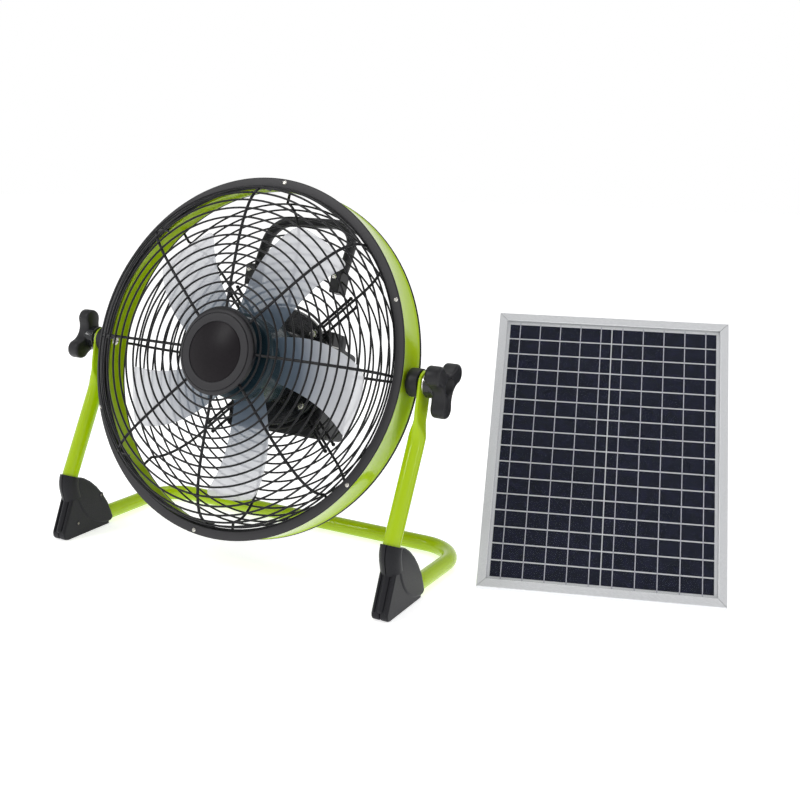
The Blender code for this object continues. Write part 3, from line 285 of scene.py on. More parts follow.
STEEL = surface("turned_steel", (0.55, 0.56, 0.58), 0.30, vary=0.06, grain_scale=1500.0, metallic=1.0)
IRON = surface("laminated_iron", (0.26, 0.24, 0.22), 0.50, vary=0.2, metallic=1.0, stretch=(1, 1, 12))
BRASS = surface("brass", (0.70, 0.50, 0.20), 0.30, vary=0.08, metallic=1.0)
WRAP = surface("battery_wrap", (0.02, 0.10, 0.35), 0.35, vary=0.15)
BOARD = surface("circuit_board", (0.02, 0.14, 0.05), 0.40, vary=0.2, vary_scale=200.0)
RED_LENS = surface("red_lens", (0.55, 0.02, 0.015), 0.15, vary=0.1)
WHITE_SHEET = surface("white_sheet", (0.80, 0.81, 0.83), 0.55, vary=0.02, grain_scale=1200.0)
BUSBAR = surface("silver_busbar", (0.50, 0.50, 0.56), 0.45, vary=0.08, vary_scale=300.0)
RAIL_ACROSS = brushed("anodised_rail_across", (0.74, 0.75, 0.77), 0.38, 0, 0.45)
RAIL_UP = brushed("anodised_rail_up", (0.74, 0.75, 0.77), 0.38, 1, 0.45)
SMOKY = smoky_plastic()
SILICON = cell_silicon()
GLASS = clear_glass()


# ---- shapes
ON_AXIS = 1e-7


def lathe(shape, profile, steps=96, place=Matrix()):
    """Turns a profile of (radius, height) about Z. A profile off the axis at both ends closes on itself."""
    turns = [i * tau / steps for i in range(steps)]
    rings = []
    for radius, height in profile:
        angles = turns if radius > ON_AXIS else turns[:1]
        points = [Vector((radius * cos(t), radius * sin(t), height)) for t in angles]
        rings.append([shape.verts.new(place @ point) for point in points])
    pairs = list(zip(rings, rings[1:]))
    if len(rings[0]) > 1 and len(rings[-1]) > 1:
        pairs.append((rings[-1], rings[0]))
    for first, second in pairs:
        for i in range(steps):
            after = (i + 1) % steps
            corners = [first[i % len(first)], first[after % len(first)], second[after % len(second)],
                       second[i % len(second)]]
            corners = [c for k, c in enumerate(corners) if c not in corners[:k]]
            if len(corners) > 2:
                shape.faces.new(corners)


def sweep(shape, path, section, side=ACROSS):
    """Pushes a section along a path. section is a list of (side, other) points, or a function of the point's
    index that gives one; side is the section's first direction at the path's start."""
    path = [Vector(p) for p in path]
    rings = []
    for index, point in enumerate(path):
        tangent = (path[min(index + 1, len(path) - 1)] - path[max(index - 1, 0)]).normalized()
        side = (side - tangent * side.dot(tangent)).normalized()
        other = tangent.cross(side)
        outline = section(index) if callable(section) else section
        rings.append([shape.verts.new(point + side * a + other * b) for a, b in outline])
    sides = len(rings[0])
    for first, second in zip(rings, rings[1:]):
        for i in range(sides):
            after = (i + 1) % sides
            shape.faces.new((first[i], first[after], second[after], second[i]))
    shape.faces.new(rings[0])
    shape.faces.new(rings[-1])


def round_section(radius, sides=10):
    return [(radius * cos(i * tau / sides), radius * sin(i * tau / sides)) for i in range(sides)]


def prism(shape, outline, low, high, place=Matrix()):
    """A flat outline of (x, y) points pushed along Z."""
    bottom = [shape.verts.new(place @ Vector((x, y, low))) for x, y in outline]
    top = [shape.verts.new(place @ Vector((x, y, high))) for x, y in outline]
    count = len(outline)
    for i in range(count):
        after = (i + 1) % count
        shape.faces.new((bottom[i], bottom[after], top[after], top[i]))
    shape.faces.new(bottom)
    shape.faces.new(top)


def block(shape, low, high, place=Matrix()):
    outline = [(low[0], low[1]), (high[0], low[1]), (high[0], high[1]), (low[0], high[1])]
    prism(shape, outline, low[2], high[2], place)


def arc(centre, radius, start, end, steps):
    """Points along an arc, from the start angle to the end angle."""
    turns = [start + (end - start) * i / steps for i in range(steps + 1)]
    return [(centre[0] + radius * cos(t), centre[1] + radius * sin(t)) for t in turns]


def rounded_path(corners, radii, turn_step=radians(6)):
    """The corners' polyline with each inner corner made an arc of its radius."""
    path = [Vector(corners[0])]
    for before, corner, after, radius in zip(corners, corners[1:], corners[2:], radii):
        corner = Vector(corner)
        back = (Vector(before) - corner).normalized()
        ahead = (Vector(after) - corner).normalized()
        turn = pi - acos(max(-1.0, min(1.0, back.dot(ahead))))
        reach = radius * tan(turn / 2)
        centre = corner + (back + ahead).normalized() * hypot(radius, reach)
        first = (corner + back * reach - centre).normalized()
        last = (corner + ahead * reach - centre).normalized()
        steps = max(2, ceil(turn / turn_step))
        for step in range(steps + 1):
            share = step / steps
            mixed = first * (sin((1 - share) * turn) / sin(turn)) + last * (sin(share * turn) / sin(turn))
            path.append(centre + mixed * radius)
    path.append(Vector(corners[-1]))
    return path


def evenly(path, spacing):
    """The same path with more points on its straight stretches."""
    found = [Vector(path[0])]
    for start, end in zip(path, path[1:]):
        start, end = Vector(start), Vector(end)
        steps = max(1, ceil((end - start).length / spacing))
        found += [start.lerp(end, i / steps) for i in range(1, steps + 1)]
    return found


def mesh_of(name, build):
    """A mesh filled by a build function, with its faces turned outwards."""
    mesh = bpy.data.meshes.new(name)
    shape = bmesh.new()
    build(shape)
    bmesh.ops.recalc_face_normals(shape, faces=shape.faces)
    shape.to_mesh(mesh)
    shape.free()
    return mesh


def smoothed(mesh, angle):
    mesh.shade_smooth()
    mesh.set_sharp_from_angle(angle=radians(angle))


def piece(name, build, place, body, look, slot, replaces=(), bevel=0.0, segments=3, angle=35):
    """A visible piece: build fills its mesh in the axes of place. It rides on a body; its slot is not used."""
    mesh = mesh_of(name, build)
    mesh.materials.append(look)
    smoothed(mesh, angle)
    made = add_object(name, mesh, place)
    if bevel:
        rounding = made.modifiers.new("rounded", "BEVEL")
        rounding.width = bevel
        rounding.segments = segments
        rounding.limit_method = "ANGLE"
        rounding.angle_limit = radians(40)
        rounding.harden_normals = True
    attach(made, body)
    if replaces:
        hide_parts(*replaces)
    return made


def turned_piece(name, profile, place, body, look, slot, replaces=(), steps=96):
    """A piece that is one profile turned about the Z of place."""
    piece(name, lambda shape: lathe(shape, profile, steps), place, body, look, slot, replaces)


def screw_piece(name, spots, radius, height, place, body):
    """A piece that is one or more nickel screws, each on its own spot in the axes of place."""
    def build(shape):
        for spot in spots:
            cross_screw(shape, spot, radius, height)

    piece(name, build, place, body, NICKEL, "steel")


def refinish(look, *names):
    """A CAD node whose shape is right keeps it and gets a finer material and smooth shading."""
    for name in names:
        node = frame["nodes"][name]
        node.data.materials.clear()
        node.data.materials.append(look)
        smoothed(node.data, 30)


def cross_screw(shape, place, radius, height):
    """A pan-head screw on the XY plane of place: four corners on its sunk floor leave a cross."""
    reach, half = 0.52 * radius, 0.09 * radius
    profile = [(0, 0.40), (0.50, 0.40), (0.54, 0.98), (0.72, 0.86), (0.92, 0.52), (1.0, 0.18), (1.0, -0.2)]
    profile.append((0, -0.2))
    lathe(shape, [(r * radius, h * height) for r, h in profile], 24, place)
    corner = asin(half / reach)
    outline = [(half, half)] + arc((0, 0), reach, corner, pi / 2 - corner, 3)
    for quarter in range(4):
        turned = place @ Matrix.Rotation(quarter * pi / 2, 4, "Z")
        prism(shape, outline, 0.38 * height, 0.98 * height, turned)


def at(x, y, z, turn=0.0):
    return Matrix.Translation((x, y, z)) @ Matrix.Rotation(turn, 4, "Z")


# ---- drum and rim band
drum_low, drum_high = extent(HEAD, "drum")
band_low, band_high = extent(HEAD, "rim_band")
DRUM_RADIUS = drum_high.x
DRUM_HALF = drum_high.z
DRUM_WALL = 0.0016
ROLLED_EDGE = 0.0021
FLANGE_WIDTH = 0.0130
FLANGE_BACK = 0.0069
BAND_INNER = 0.2268
BAND_OUTER = band_high.x
BAND_FRONT = band_high.z
RIM_SCREWS = 6
FIRST_RIM_SCREW = radians(84)
BAND_EDGE_RADIUS = 0.0011


def make_drum():
    sheet = DRUM_RADIUS - 0.0012
    inside = sheet - DRUM_WALL
    edge = DRUM_RADIUS - ROLLED_EDGE, DRUM_HALF - ROLLED_EDGE
    front = arc(edge, ROLLED_EDGE, pi / 2, radians(-50), 9)
    rear = [(r, -z) for r, z in reversed(front)]
    flange = DRUM_HALF - FLANGE_BACK
    inner = [(inside - 0.0008, -DRUM_HALF), (inside - 0.0008, 0.004 - DRUM_HALF), (inside, 0.006 - DRUM_HALF)]
    inner += [(inside, flange), (DRUM_RADIUS - FLANGE_WIDTH, flange)]
    inner += [(DRUM_RADIUS - FLANGE_WIDTH, flange + 0.0014), (inside, flange + 0.0014), (inside, DRUM_HALF)]
    profile = front + [(sheet, DRUM_HALF - 0.0055), (sheet, 0.0055 - DRUM_HALF)] + rear + inner
    turned_piece("drum_shell", profile, HEAD, "head", GREEN, "green_paint", ["drum"], 180)


def make_rim_band():
    lip = 0.0013
    outer = arc((BAND_OUTER - lip, BAND_FRONT - lip), lip, pi / 2, 0, 5)
    inner = arc((BAND_INNER + lip, BAND_FRONT - lip), lip, pi, pi / 2, 5)
    profile = outer + [(BAND_OUTER, band_low.z), (BAND_INNER, band_low.z)] + inner
    turned_piece("rim_band_face", profile, HEAD, "head", BAND_PAINT, "grey_paint", ["rim_band"], 180)

    def edges(shape):
        for radius in (BAND_OUTER - 0.0008, BAND_INNER + 0.0006):
            lathe(shape, arc((radius, BAND_FRONT - lip), BAND_EDGE_RADIUS, 0, tau * 11 / 12, 11), 180)

    piece("rim_band_edges", edges, HEAD, "head", EDGE_PAINT, "grey_paint")
    middle = BAND_INNER + 0.62 * (BAND_OUTER - BAND_INNER)
    turns = [FIRST_RIM_SCREW - index * tau / RIM_SCREWS for index in range(RIM_SCREWS)]
    spots = [at(middle * cos(t), middle * sin(t), BAND_FRONT, t) for t in turns]
    screw_piece("rim_screws", spots, 0.0030, 0.0016, HEAD, "head")


# ---- wire guards
front_low, front_high = extent(HEAD, "front_guard")
rear_low, rear_high = extent(HEAD, "rear_guard")
RING_WIRE = 0.00135
SPOKE_WIRE = 0.0019
RING_OFFSET = 0.0018
RING_PITCH = 0.01225
SPOKES = 8
FRONT_FLAT = front_high.z - 0.0033
FRONT_FIRST_RING = 0.0755
FRONT_INNER_RING = 0.0639
FRONT_OUTER_RING = (0.2275, DRUM_HALF - 0.0024)
FRONT_FLAT_RADIUS = 0.0950
FRONT_EDGE_RADIUS = 0.2220
FRONT_FOOT = 0.0205
FRONT_GUARD_RISE = 0.0020
SPOKE_START = 0.0460
REAR_FLAT = rear_low.z + 0.0033
REAR_HUB_RING = 0.0860
REAR_OUTER_RING = (0.2360, -DRUM_HALF - 0.0026)
REAR_FLAT_RADIUS = 0.1600
REAR_EDGE_RADIUS = 0.2180
REAR_FOOT = -0.0240
HUB_PLATE_RADIUS = 0.0560
BRACE_OFFSET = 0.0075
BRACE_INNER = 0.0800
BRACE_OUTER = 0.1400


def dome(flat, flat_radius, edge_radius, foot, power):
    """The curved edge of a guard, from the end of its flat to its foot, as (radius, place)."""
    steps = 16
    found = []
    for step in range(steps + 1):
        along = sin(step / steps * pi / 2)
        rise = (1 - along**power) ** (1 / power)
        found.append((flat_radius + (edge_radius - flat_radius) * along, foot + (flat - foot) * rise))
    return found


def ring_places(section, first, offset):
    """(radius, place) of each ring: one pitch apart along the section, on its outer side."""
    places = []
    wanted = first
    travelled = section[0][0]
    for (r0, z0), (r1, z1) in zip(section, section[1:]):
        length = hypot(r1 - r0, z1 - z0)
        while travelled + length > wanted:
            share = (wanted - travelled) / length
            outward = Vector((z0 - z1, r1 - r0)).normalized() * offset
            places.append((r0 + (r1 - r0) * share + outward.x, z0 + (z1 - z0) * share + outward.y))
            wanted += RING_PITCH
        travelled += length
    return places


def wire_ring(shape, radius, place, wire):
    lathe(shape, [(radius + a, place + b) for a, b in round_section(wire, 8)], 120)


def spokes(shape, section):
    for spoke in range(SPOKES):
        turn = spoke * tau / SPOKES
        path = [(r * cos(turn), r * sin(turn), z) for r, z in section]
        sweep(shape, path, round_section(SPOKE_WIRE), Vector((-sin(turn), cos(turn), 0)))


def make_front_guard():
    edge = dome(FRONT_FLAT, FRONT_FLAT_RADIUS, FRONT_EDGE_RADIUS, FRONT_FOOT, 3.0)
    section = [(SPOKE_START, FRONT_FLAT), *edge, FRONT_OUTER_RING]

    def build(shape):
        for radius, place in ring_places(section[:-1], FRONT_FIRST_RING, RING_OFFSET):
            wire_ring(shape, radius, place, RING_WIRE)
        wire_ring(shape, FRONT_INNER_RING, FRONT_FLAT + RING_OFFSET, RING_WIRE)
        wire_ring(shape, *FRONT_OUTER_RING, SPOKE_WIRE)
        spokes(shape, section)
        front, back = FRONT_FLAT + 0.0030, FRONT_FLAT - 0.0015
        lathe(shape, [(0, front), (HUB_PLATE_RADIUS, front), (HUB_PLATE_RADIUS, back), (0, back)])

    place = HEAD @ at(0, FRONT_GUARD_RISE, 0)
    piece("front_guard_wires", build, place, "head", WIRE, "black_wire", ["front_guard"], angle=50)


def make_rear_guard():
    edge = dome(REAR_FLAT, REAR_FLAT_RADIUS, REAR_EDGE_RADIUS, REAR_FOOT, 2.0)
    section = [(REAR_HUB_RING, REAR_FLAT), *edge, REAR_OUTER_RING]
    brace_place = Vector((0, 0, REAR_FLAT - RING_OFFSET - RING_WIRE - SPOKE_WIRE))

    def build(shape):
        wire_ring(shape, REAR_HUB_RING, REAR_FLAT, SPOKE_WIRE)
        for radius, place in ring_places(section[:-1], REAR_HUB_RING + RING_PITCH, -RING_OFFSET):
            wire_ring(shape, radius, place, RING_WIRE)
        wire_ring(shape, *REAR_OUTER_RING, SPOKE_WIRE)
        spokes(shape, section)
        for diagonal in range(4):
            turn = pi / 4 + diagonal * pi / 2
            outward = Vector((cos(turn), sin(turn), 0))
            sideways = Vector((-sin(turn), cos(turn), 0))
            for offset in (-BRACE_OFFSET, BRACE_OFFSET):
                start = outward * BRACE_INNER + sideways * offset + brace_place
                end = start + outward * (BRACE_OUTER - BRACE_INNER)
                sweep(shape, [start, end], round_section(SPOKE_WIRE * 1.1), sideways)
                lathe(shape, arc((0, 0), SPOKE_WIRE * 1.5, pi / 2, -pi / 2, 8), 12, Matrix.Translation(end))

    piece("rear_guard_wires", build, HEAD, "head", WIRE, "black_wire", ["rear_guard"], angle=50)


COVER_INSET = 0.0012
COVER_DROP = 0.0012
COVER_RING = 0.0498


def make_hub_cover():
    """The cover has a raised ring round the sunk label, a groove, and a shoulder that slopes to the rim."""
    low, high = extent(HEAD, "front_hub_cover")
    label_low, label_high = extent(HEAD, "hub_label_disc")
    front, radius, label = high.z, high.x - COVER_INSET, label_high.x
    place = HEAD @ at(0, -COVER_DROP, 0)
    profile = [(0, front - 0.0014), (label + 0.0006, front - 0.0014)]
    profile += arc((label + 0.0014, front - 0.0006), 0.0006, pi, pi / 2, 4)
    profile += arc((COVER_RING - 0.0010, front - 0.0010), 0.0010, pi / 2, 0, 4)
    groove = [(0.0001, 0.0019), (0.0009, 0.0019)]
    shoulder = [(0.0011, 0.0012), (0.0020, 0.0012), (0.0050, 0.0028)]
    profile += [(COVER_RING + outward, front - sunk) for outward, sunk in groove + shoulder]
    profile += arc((radius - 0.0016, front - 0.0046), 0.0016, pi / 3, 0, 4)
    profile += [(radius, low.z), (0, low.z)]
    turned_piece("hub_cover_face", profile, place, "head", COVER_PLASTIC, "hub_plastic", ["front_hub_cover"],
                 128)
    top = label_high.z
    film = [(0, top - 0.0002), (label - 0.0006, top - 0.0003), (label, top - 0.0007)]
    film += [(label, label_low.z), (0, label_low.z)]
    turned_piece("hub_label_film", film, place, "head", LABEL_FILM, "label", ["hub_label_disc"])


# ---- motor
SHAFT_HOLE = 0.0055
PLATE_RIDGES = 5
FIRST_RIDGE = 0.0520
RIDGE_PITCH = 0.0052
MOTOR_RIB = 0.0036
MOTOR_RIB_DEPTH = 0.0014
PLATE_SCREW = 0.0500
PLATE_SCREWS = [(x, y) for x in (-PLATE_SCREW, PLATE_SCREW) for y in (-PLATE_SCREW, PLATE_SCREW)]


def motor_shell_profile(low, high):
    """A coned front, then ribs down to near the back."""
    radius, front = high.x, high.z
    profile = [(SHAFT_HOLE, front), (0.020, front), (0.030, front), (radius - 0.003, front - 0.0070)]
    profile += arc((radius - 0.002, front - 0.0100), 0.002, pi / 3, 0, 4)
    place = front - 0.014
    while place - MOTOR_RIB > low.z + 0.004:
        groove = radius - MOTOR_RIB_DEPTH
        profile += [(radius, place), (groove, place - 0.0006), (groove, place - MOTOR_RIB * 0.4)]
        profile.append((radius, place - MOTOR_RIB * 0.4 - 0.0006))
        place -= MOTOR_RIB
    return profile + [(radius, low.z), (SHAFT_HOLE, low.z)]


def make_motor():
    low, high = extent(HEAD, "motor_mount_plate")
    plate, front = high.x, high.z
    face = front - 0.004
    disc = [(0, face)]
    for ridge in range(PLATE_RIDGES):
        start = FIRST_RIDGE + ridge * RIDGE_PITCH
        disc += [(start, face), (start + 0.0008, face + 0.0011), (start + 0.0026, face + 0.0011)]
        disc.append((start + 0.0034, face))
    disc += [(plate - 0.0040, face), (plate - 0.0036, front - 0.0006)]
    disc += arc((plate - 0.0018, front - 0.0018), 0.0018, pi * 0.8, 0, 6)
    disc += [(plate, low.z), (0, low.z)]
    turned_piece("motor_plate_disc", disc, HEAD, "head", MOTOR_PAINT, "black_plastic", ["motor_mount_plate"],
                 128)
    shell = motor_shell_profile(*extent(HEAD, "motor_housing"))
    turned_piece("motor_shell", shell, HEAD, "head", MOTOR_PAINT, "black_plastic", ["motor_housing"])
    low, high = extent(HEAD, "motor_end_cap")
    cap = [(0, high.z), (high.x - 0.0008, high.z), (high.x, high.z - 0.0008), (high.x, low.z), (0, low.z)]
    turned_piece("motor_cap_shell", cap, HEAD, "head", MOTOR_PAINT, "black_plastic", ["motor_end_cap"])

    def screws(shape):
        for x, y in PLATE_SCREWS:
            lathe(shape, [(0, 0.0008), (0.0064, 0.0008), (0.0066, 0), (0, 0)], 32, at(x, y, face))
            cross_screw(shape, at(x, y, face + 0.0009, x * 20), 0.0050, 0.0030)

    piece("plate_screws", screws, HEAD, "head", NICKEL, "steel")


# ---- fan
fan_low, fan_high = extent(HEAD, "fan_blade")
HUB_RADIUS = 0.0570
HUB_FRONT = fan_high.z
BLADES = 5
BLADE_PHASE = radians(2.4)
BLADE_ROOT = 0.0560
BLADE_TIP = 0.1870
BLADE_PLACE = 0.0173
BLADE_TIP_CORNER = 0.93
BLADE_THICKNESS = 0.0018
BLADE_ROWS = 40
BLADE_COLUMNS = 20
HUB_WALL = 0.0025
HUB_BACK = -0.0220
HUB_BORE = 0.0043
HUB_SLEEVE_RADIUS = 0.0095
HUB_SLEEVE_BACK = -0.0070
HUB_RIBS = 10
NUT_FLUTES = 8


def blade_point(along, across):
    """A point of the blade's middle surface: along its length and across its chord, each from 0 to 1."""
    radius = BLADE_ROOT + (BLADE_TIP - BLADE_ROOT) * along
    chord = 0.0606 + 0.0514 * along - 0.0228 * along**2
    end = max(0.0, (along - BLADE_TIP_CORNER) / (1 - BLADE_TIP_CORNER))
    chord *= 1 - 0.18 * (1 - sqrt(max(0.0, 1 - end**2)))
    pitch = radians(17 - 8 * along)
    skew = radians(-6.9 * along - 8.5 * along**2)
    offset = (across - 0.5) * chord
    camber = 0.003 * (1 - (2 * across - 1) ** 2)
    turn = BLADE_PHASE + skew + offset * cos(pitch) / radius
    place = BLADE_PLACE + 0.0018 * along + offset * sin(pitch) - camber
    return Vector((radius * cos(turn), radius * sin(turn), place))


def blade_sheet(shape, turn, side):
    """The vertices of one face of a blade, in rows from root to tip. It thins towards its edges and tip."""
    near = 0.01
    grid = []
    for i in range(BLADE_ROWS + 1):
        along = 1 - (1 - i / BLADE_ROWS) ** 1.6
        row = []
        for j in range(BLADE_COLUMNS + 1):
            across = j / BLADE_COLUMNS
            ahead = blade_point(min(1.0, along + near), across) - blade_point(along - near, across)
            over = blade_point(along, min(1.0, across + near)) - blade_point(along, across - near)
            thin = min(1.0, 12 * min(across, 1 - across) + 0.25, 14 * (1 - along) + 0.25)
            offset = ahead.cross(over).normalized() * side * thin * BLADE_THICKNESS / 2
            row.append(shape.verts.new(turn @ (blade_point(along, across) + offset)))
        grid.append(row)
    return grid


def make_fan():
    rows, columns = BLADE_ROWS, BLADE_COLUMNS
    rim = [(i, 0) for i in range(rows)] + [(rows, j) for j in range(columns)]
    rim += [(i, columns) for i in range(rows, 0, -1)] + [(0, j) for j in range(columns, 0, -1)]

    def blades(shape):
        for index in range(BLADES):
            turn = Matrix.Rotation(index * tau / BLADES, 4, "Z")
            back, front = [blade_sheet(shape, turn, side) for side in (-1, 1)]
            for i in range(rows):
                for j in range(columns):
                    shape.faces.new((back[i][j], back[i + 1][j], back[i + 1][j + 1], back[i][j + 1]))
                    shape.faces.new((front[i][j], front[i][j + 1], front[i + 1][j + 1], front[i + 1][j]))
            for (i0, j0), (i1, j1) in zip(rim, rim[1:] + rim[:1]):
                shape.faces.new((back[i0][j0], back[i1][j1], front[i1][j1], front[i0][j0]))

    piece("fan_blades", blades, HEAD, "rotor", SMOKY, "smoky_plastic", ["fan_blade"], angle=60)
    inside = HUB_RADIUS - HUB_WALL
    profile = [(HUB_BORE, HUB_FRONT), (0.0200, HUB_FRONT), (0.0205, HUB_FRONT - 0.0008)]
    profile += [(0.0225, HUB_FRONT - 0.0008), (0.0230, HUB_FRONT), (HUB_RADIUS - 0.007, HUB_FRONT)]
    profile += arc((HUB_RADIUS - 0.006, HUB_FRONT - 0.006), 0.006, pi / 2, 0, 8)
    profile += [(HUB_RADIUS, HUB_BACK), (inside, HUB_BACK), (inside, HUB_FRONT - 0.006)]
    profile += [(HUB_RADIUS - 0.007, HUB_FRONT - HUB_WALL), (HUB_SLEEVE_RADIUS, HUB_FRONT - HUB_WALL)]
    profile += [(HUB_SLEEVE_RADIUS, HUB_SLEEVE_BACK), (HUB_BORE, HUB_SLEEVE_BACK)]

    def hub(shape):
        lathe(shape, profile)
        for rib in range(HUB_RIBS):
            place = Matrix.Rotation(rib * tau / HUB_RIBS, 4, "Z")
            block(shape, (0.024, -0.0007, HUB_FRONT - 0.0002), (0.050, 0.0007, HUB_FRONT + 0.0008), place)

    piece("fan_hub", hub, HEAD, "rotor", HUB_PLASTIC, "smoky_plastic")
    low, high = extent(HEAD, "blade_nut")
    outline = []
    for flute in range(NUT_FLUTES):
        middle = flute * tau / NUT_FLUTES
        outline += arc((0.0088 * cos(middle), 0.0088 * sin(middle)), 0.0016, middle - 1.2, middle + 1.2, 4)
    piece("fan_nut", lambda shape: prism(shape, outline, low.z, high.z), HEAD, "rotor", BLACK_PLASTIC,
          "black_plastic", ["blade_nut"], bevel=0.0008)


# ---- battery and control case
CASE_STEP = 0.0380
CASE_UPPER_BACK = -0.1190
CASE_SEAL = 0.0370
CASE_SCREW_X = 0.0660
KNOB_FLUTES = 20
KNOB_RADIUS = 0.0160
KNOB_FLUTE_RADIUS = 0.0151
VENT_SLATS = 9
VENT_PITCH = 0.0090


def make_case_front():
    low, high = extent(HEAD, "battery_case_front")

    def shell(shape):
        block(shape, low, (high.x, high.y, high.z - 0.0050))

    def ribs(shape):
        profile = [(0, high.z), (0.006, high.z), (0.0075, low.z + 0.012), (0, low.z + 0.012)]
        for x, y in PLATE_SCREWS:
            lathe(shape, profile, 32, at(x, y, 0))
        bottom, top = high.z - 0.0052, high.z - 0.0010
        block(shape, (low.x + 0.010, -0.008, bottom), (high.x - 0.010, 0.008, top))
        block(shape, (-0.008, low.y + 0.010, bottom), (0.008, high.y - 0.010, top))

    piece("case_front_shell", shell, HEAD, "head", CASE_PLASTIC, "grey_plastic", ["battery_case_front"],
          bevel=0.0030)
    piece("case_front_ribs", ribs, HEAD, "head", CASE_PLASTIC, "grey_plastic", bevel=0.0008, segments=2)


def make_case_rear():
    low, high = extent(HEAD, "battery_case_rear")
    across = axes((0, 1, 0), (0, 0, -1), (-1, 0, 0), (0, 0, 0))
    outline = [(high.y, -high.z), (high.y, -CASE_UPPER_BACK), (CASE_STEP, -CASE_UPPER_BACK),
               (CASE_STEP - 0.004, -low.z), (low.y, -low.z), (low.y, -high.z)]
    piece("case_rear_shell", lambda shape: prism(shape, outline, low.x, high.x), HEAD @ across, "head",
          CASE_PLASTIC, "grey_plastic", ["battery_case_rear"], bevel=0.0065, segments=5)

    def vents(shape):
        for x in (-0.044, 0.044):
            for slat in range(VENT_SLATS):
                y = -0.078 + slat * VENT_PITCH
                block(shape, (x - 0.020, y, low.z - 0.0008), (x + 0.020, y + VENT_PITCH / 2, low.z + 0.004))

    def seal(shape):
        front_low, front_high = extent(HEAD, "battery_case_front")
        block(shape, (front_low.x - 0.0004, CASE_SEAL - 0.0008, front_low.z + 0.004),
              (front_high.x + 0.0004, CASE_SEAL + 0.0008, front_high.z - 0.0046))

    piece("case_vent_slats", vents, HEAD, "head", CASE_PLASTIC, "grey_plastic", bevel=0.0008, segments=2)
    piece("case_seal_strip", seal, HEAD, "head", PALE_SEAL, "white_sheet")
    corners = [(x, *place) for x in (-CASE_SCREW_X, CASE_SCREW_X)
               for place in ((high.y - 0.009, CASE_UPPER_BACK), (low.y + 0.010, low.z))]
    spots = [at(*corner) @ Matrix.Rotation(pi, 4, "Y") for corner in corners]
    screw_piece("case_screws", spots, 0.0032, 0.0014, HEAD, "head")


def make_speed_dial():
    case_back = extent(HEAD, "battery_case_rear")[0].z
    back = extent(HEAD, "speed_knob")[0].z
    face = case_back - 0.0003
    flute = ((KNOB_RADIUS, 0), (KNOB_RADIUS, 0.16), (KNOB_FLUTE_RADIUS, 0.20), (KNOB_FLUTE_RADIUS, 0.27))

    def knob(shape):
        starts = [index * tau / KNOB_FLUTES for index in range(KNOB_FLUTES)]
        outline = [(r * cos(start + turn), r * sin(start + turn)) for start in starts for r, turn in flute]
        prism(shape, outline, face - 0.0115, face - 0.0004)
        cap = [(0, back), (0.0115, back)] + arc((0.0115, back + 0.0025), 0.0025, -pi / 2, 0, 5)
        lathe(shape, cap + [(0.0142, face - 0.002), (0, face - 0.002)], 64)

    def pointer(shape):
        block(shape, (-0.0008, 0.0045, back - 0.0003), (0.0008, 0.0125, back + 0.0006))

    def scale(shape):
        below, above = case_back - 0.0004, case_back + 0.0004
        for tick in range(11):
            place = Matrix.Rotation(radians(-150 + 30 * tick), 4, "Z")
            length = 0.0035 if tick % 5 else 0.0055
            block(shape, (-0.0005, 0.0190, case_back - 0.0003), (0.0005, 0.0190 + length, above), place)
        lathe(shape, [(0.0176, below), (0.0182, below), (0.0182, above), (0.0176, above)], 64)

    piece("speed_dial_knob", knob, HEAD, "speed_dial", BLACK_PLASTIC, "black_plastic", ["speed_knob"])
    piece("speed_dial_pointer", pointer, HEAD, "speed_dial", PALE_SEAL, "white_sheet", bevel=0.0002,
          segments=1)
    piece("speed_dial_scale", scale, HEAD, "head", PALE_SEAL, "white_sheet")


# ---- carry handle
GRIP_RADIUS = 0.0068
EAR_CORNER = 0.0050
EAR_BACK = -0.0870


def make_handle():
    low, high = extent(HEAD, "carry_handle")
    clamp_low, clamp_high = extent(HEAD, "right_handle_clamp")
    foot = Vector(((clamp_low.x + clamp_high.x) / 2, (clamp_low.y + clamp_high.y) / 2 + 0.001, -0.0815))
    top = Vector((foot.x, high.y - 0.0085, low.z + 0.0085))
    corners = [foot - Vector((0, 0.010, 0)), foot + Vector((0, 0.012, 0)), top]
    corners += [Vector((-c.x, c.y, c.z)) for c in reversed(corners)]
    path = evenly(rounded_path(corners, (0.030, 0.036, 0.036, 0.030), radians(5)), 0.005)

    def section(index):
        share = min(index, len(path) - 1 - index) / (len(path) - 1) * 2
        swell = min(1.0, 0.62 + share * 1.6)
        return [(a * swell, b * swell * 1.22) for a, b in round_section(GRIP_RADIUS, 20)]

    piece("handle_grip", lambda shape: sweep(shape, path, section), HEAD, "head", BLACK_PLASTIC,
          "black_plastic", ["carry_handle"], angle=60)
    make_handle_ear("left")
    make_handle_ear("right")


def make_handle_ear(side):
    low, high = extent(HEAD, f"{side}_handle_clamp")
    left, right, shoulder = low.x + 0.0010, high.x - 0.0010, high.y - EAR_CORNER
    outline = [(left + 0.0012, low.y), (right - 0.0012, low.y)]
    outline += arc((right - EAR_CORNER, shoulder), EAR_CORNER, 0, pi / 2, 6)
    outline += arc((left + EAR_CORNER, shoulder), EAR_CORNER, pi / 2, pi, 6)
    piece(f"{side}_handle_ear", lambda shape: prism(shape, outline, EAR_BACK, high.z), HEAD, "head",
          BLACK_PLASTIC, "black_plastic", [f"{side}_handle_clamp"], bevel=0.0015)
    spot = at((low.x + high.x) / 2 - 0.0015, high.y - 0.0085, high.z, 0.5)
    screw_piece(f"{side}_handle_screw", [spot], 0.0038, 0.0024, HEAD, "head")


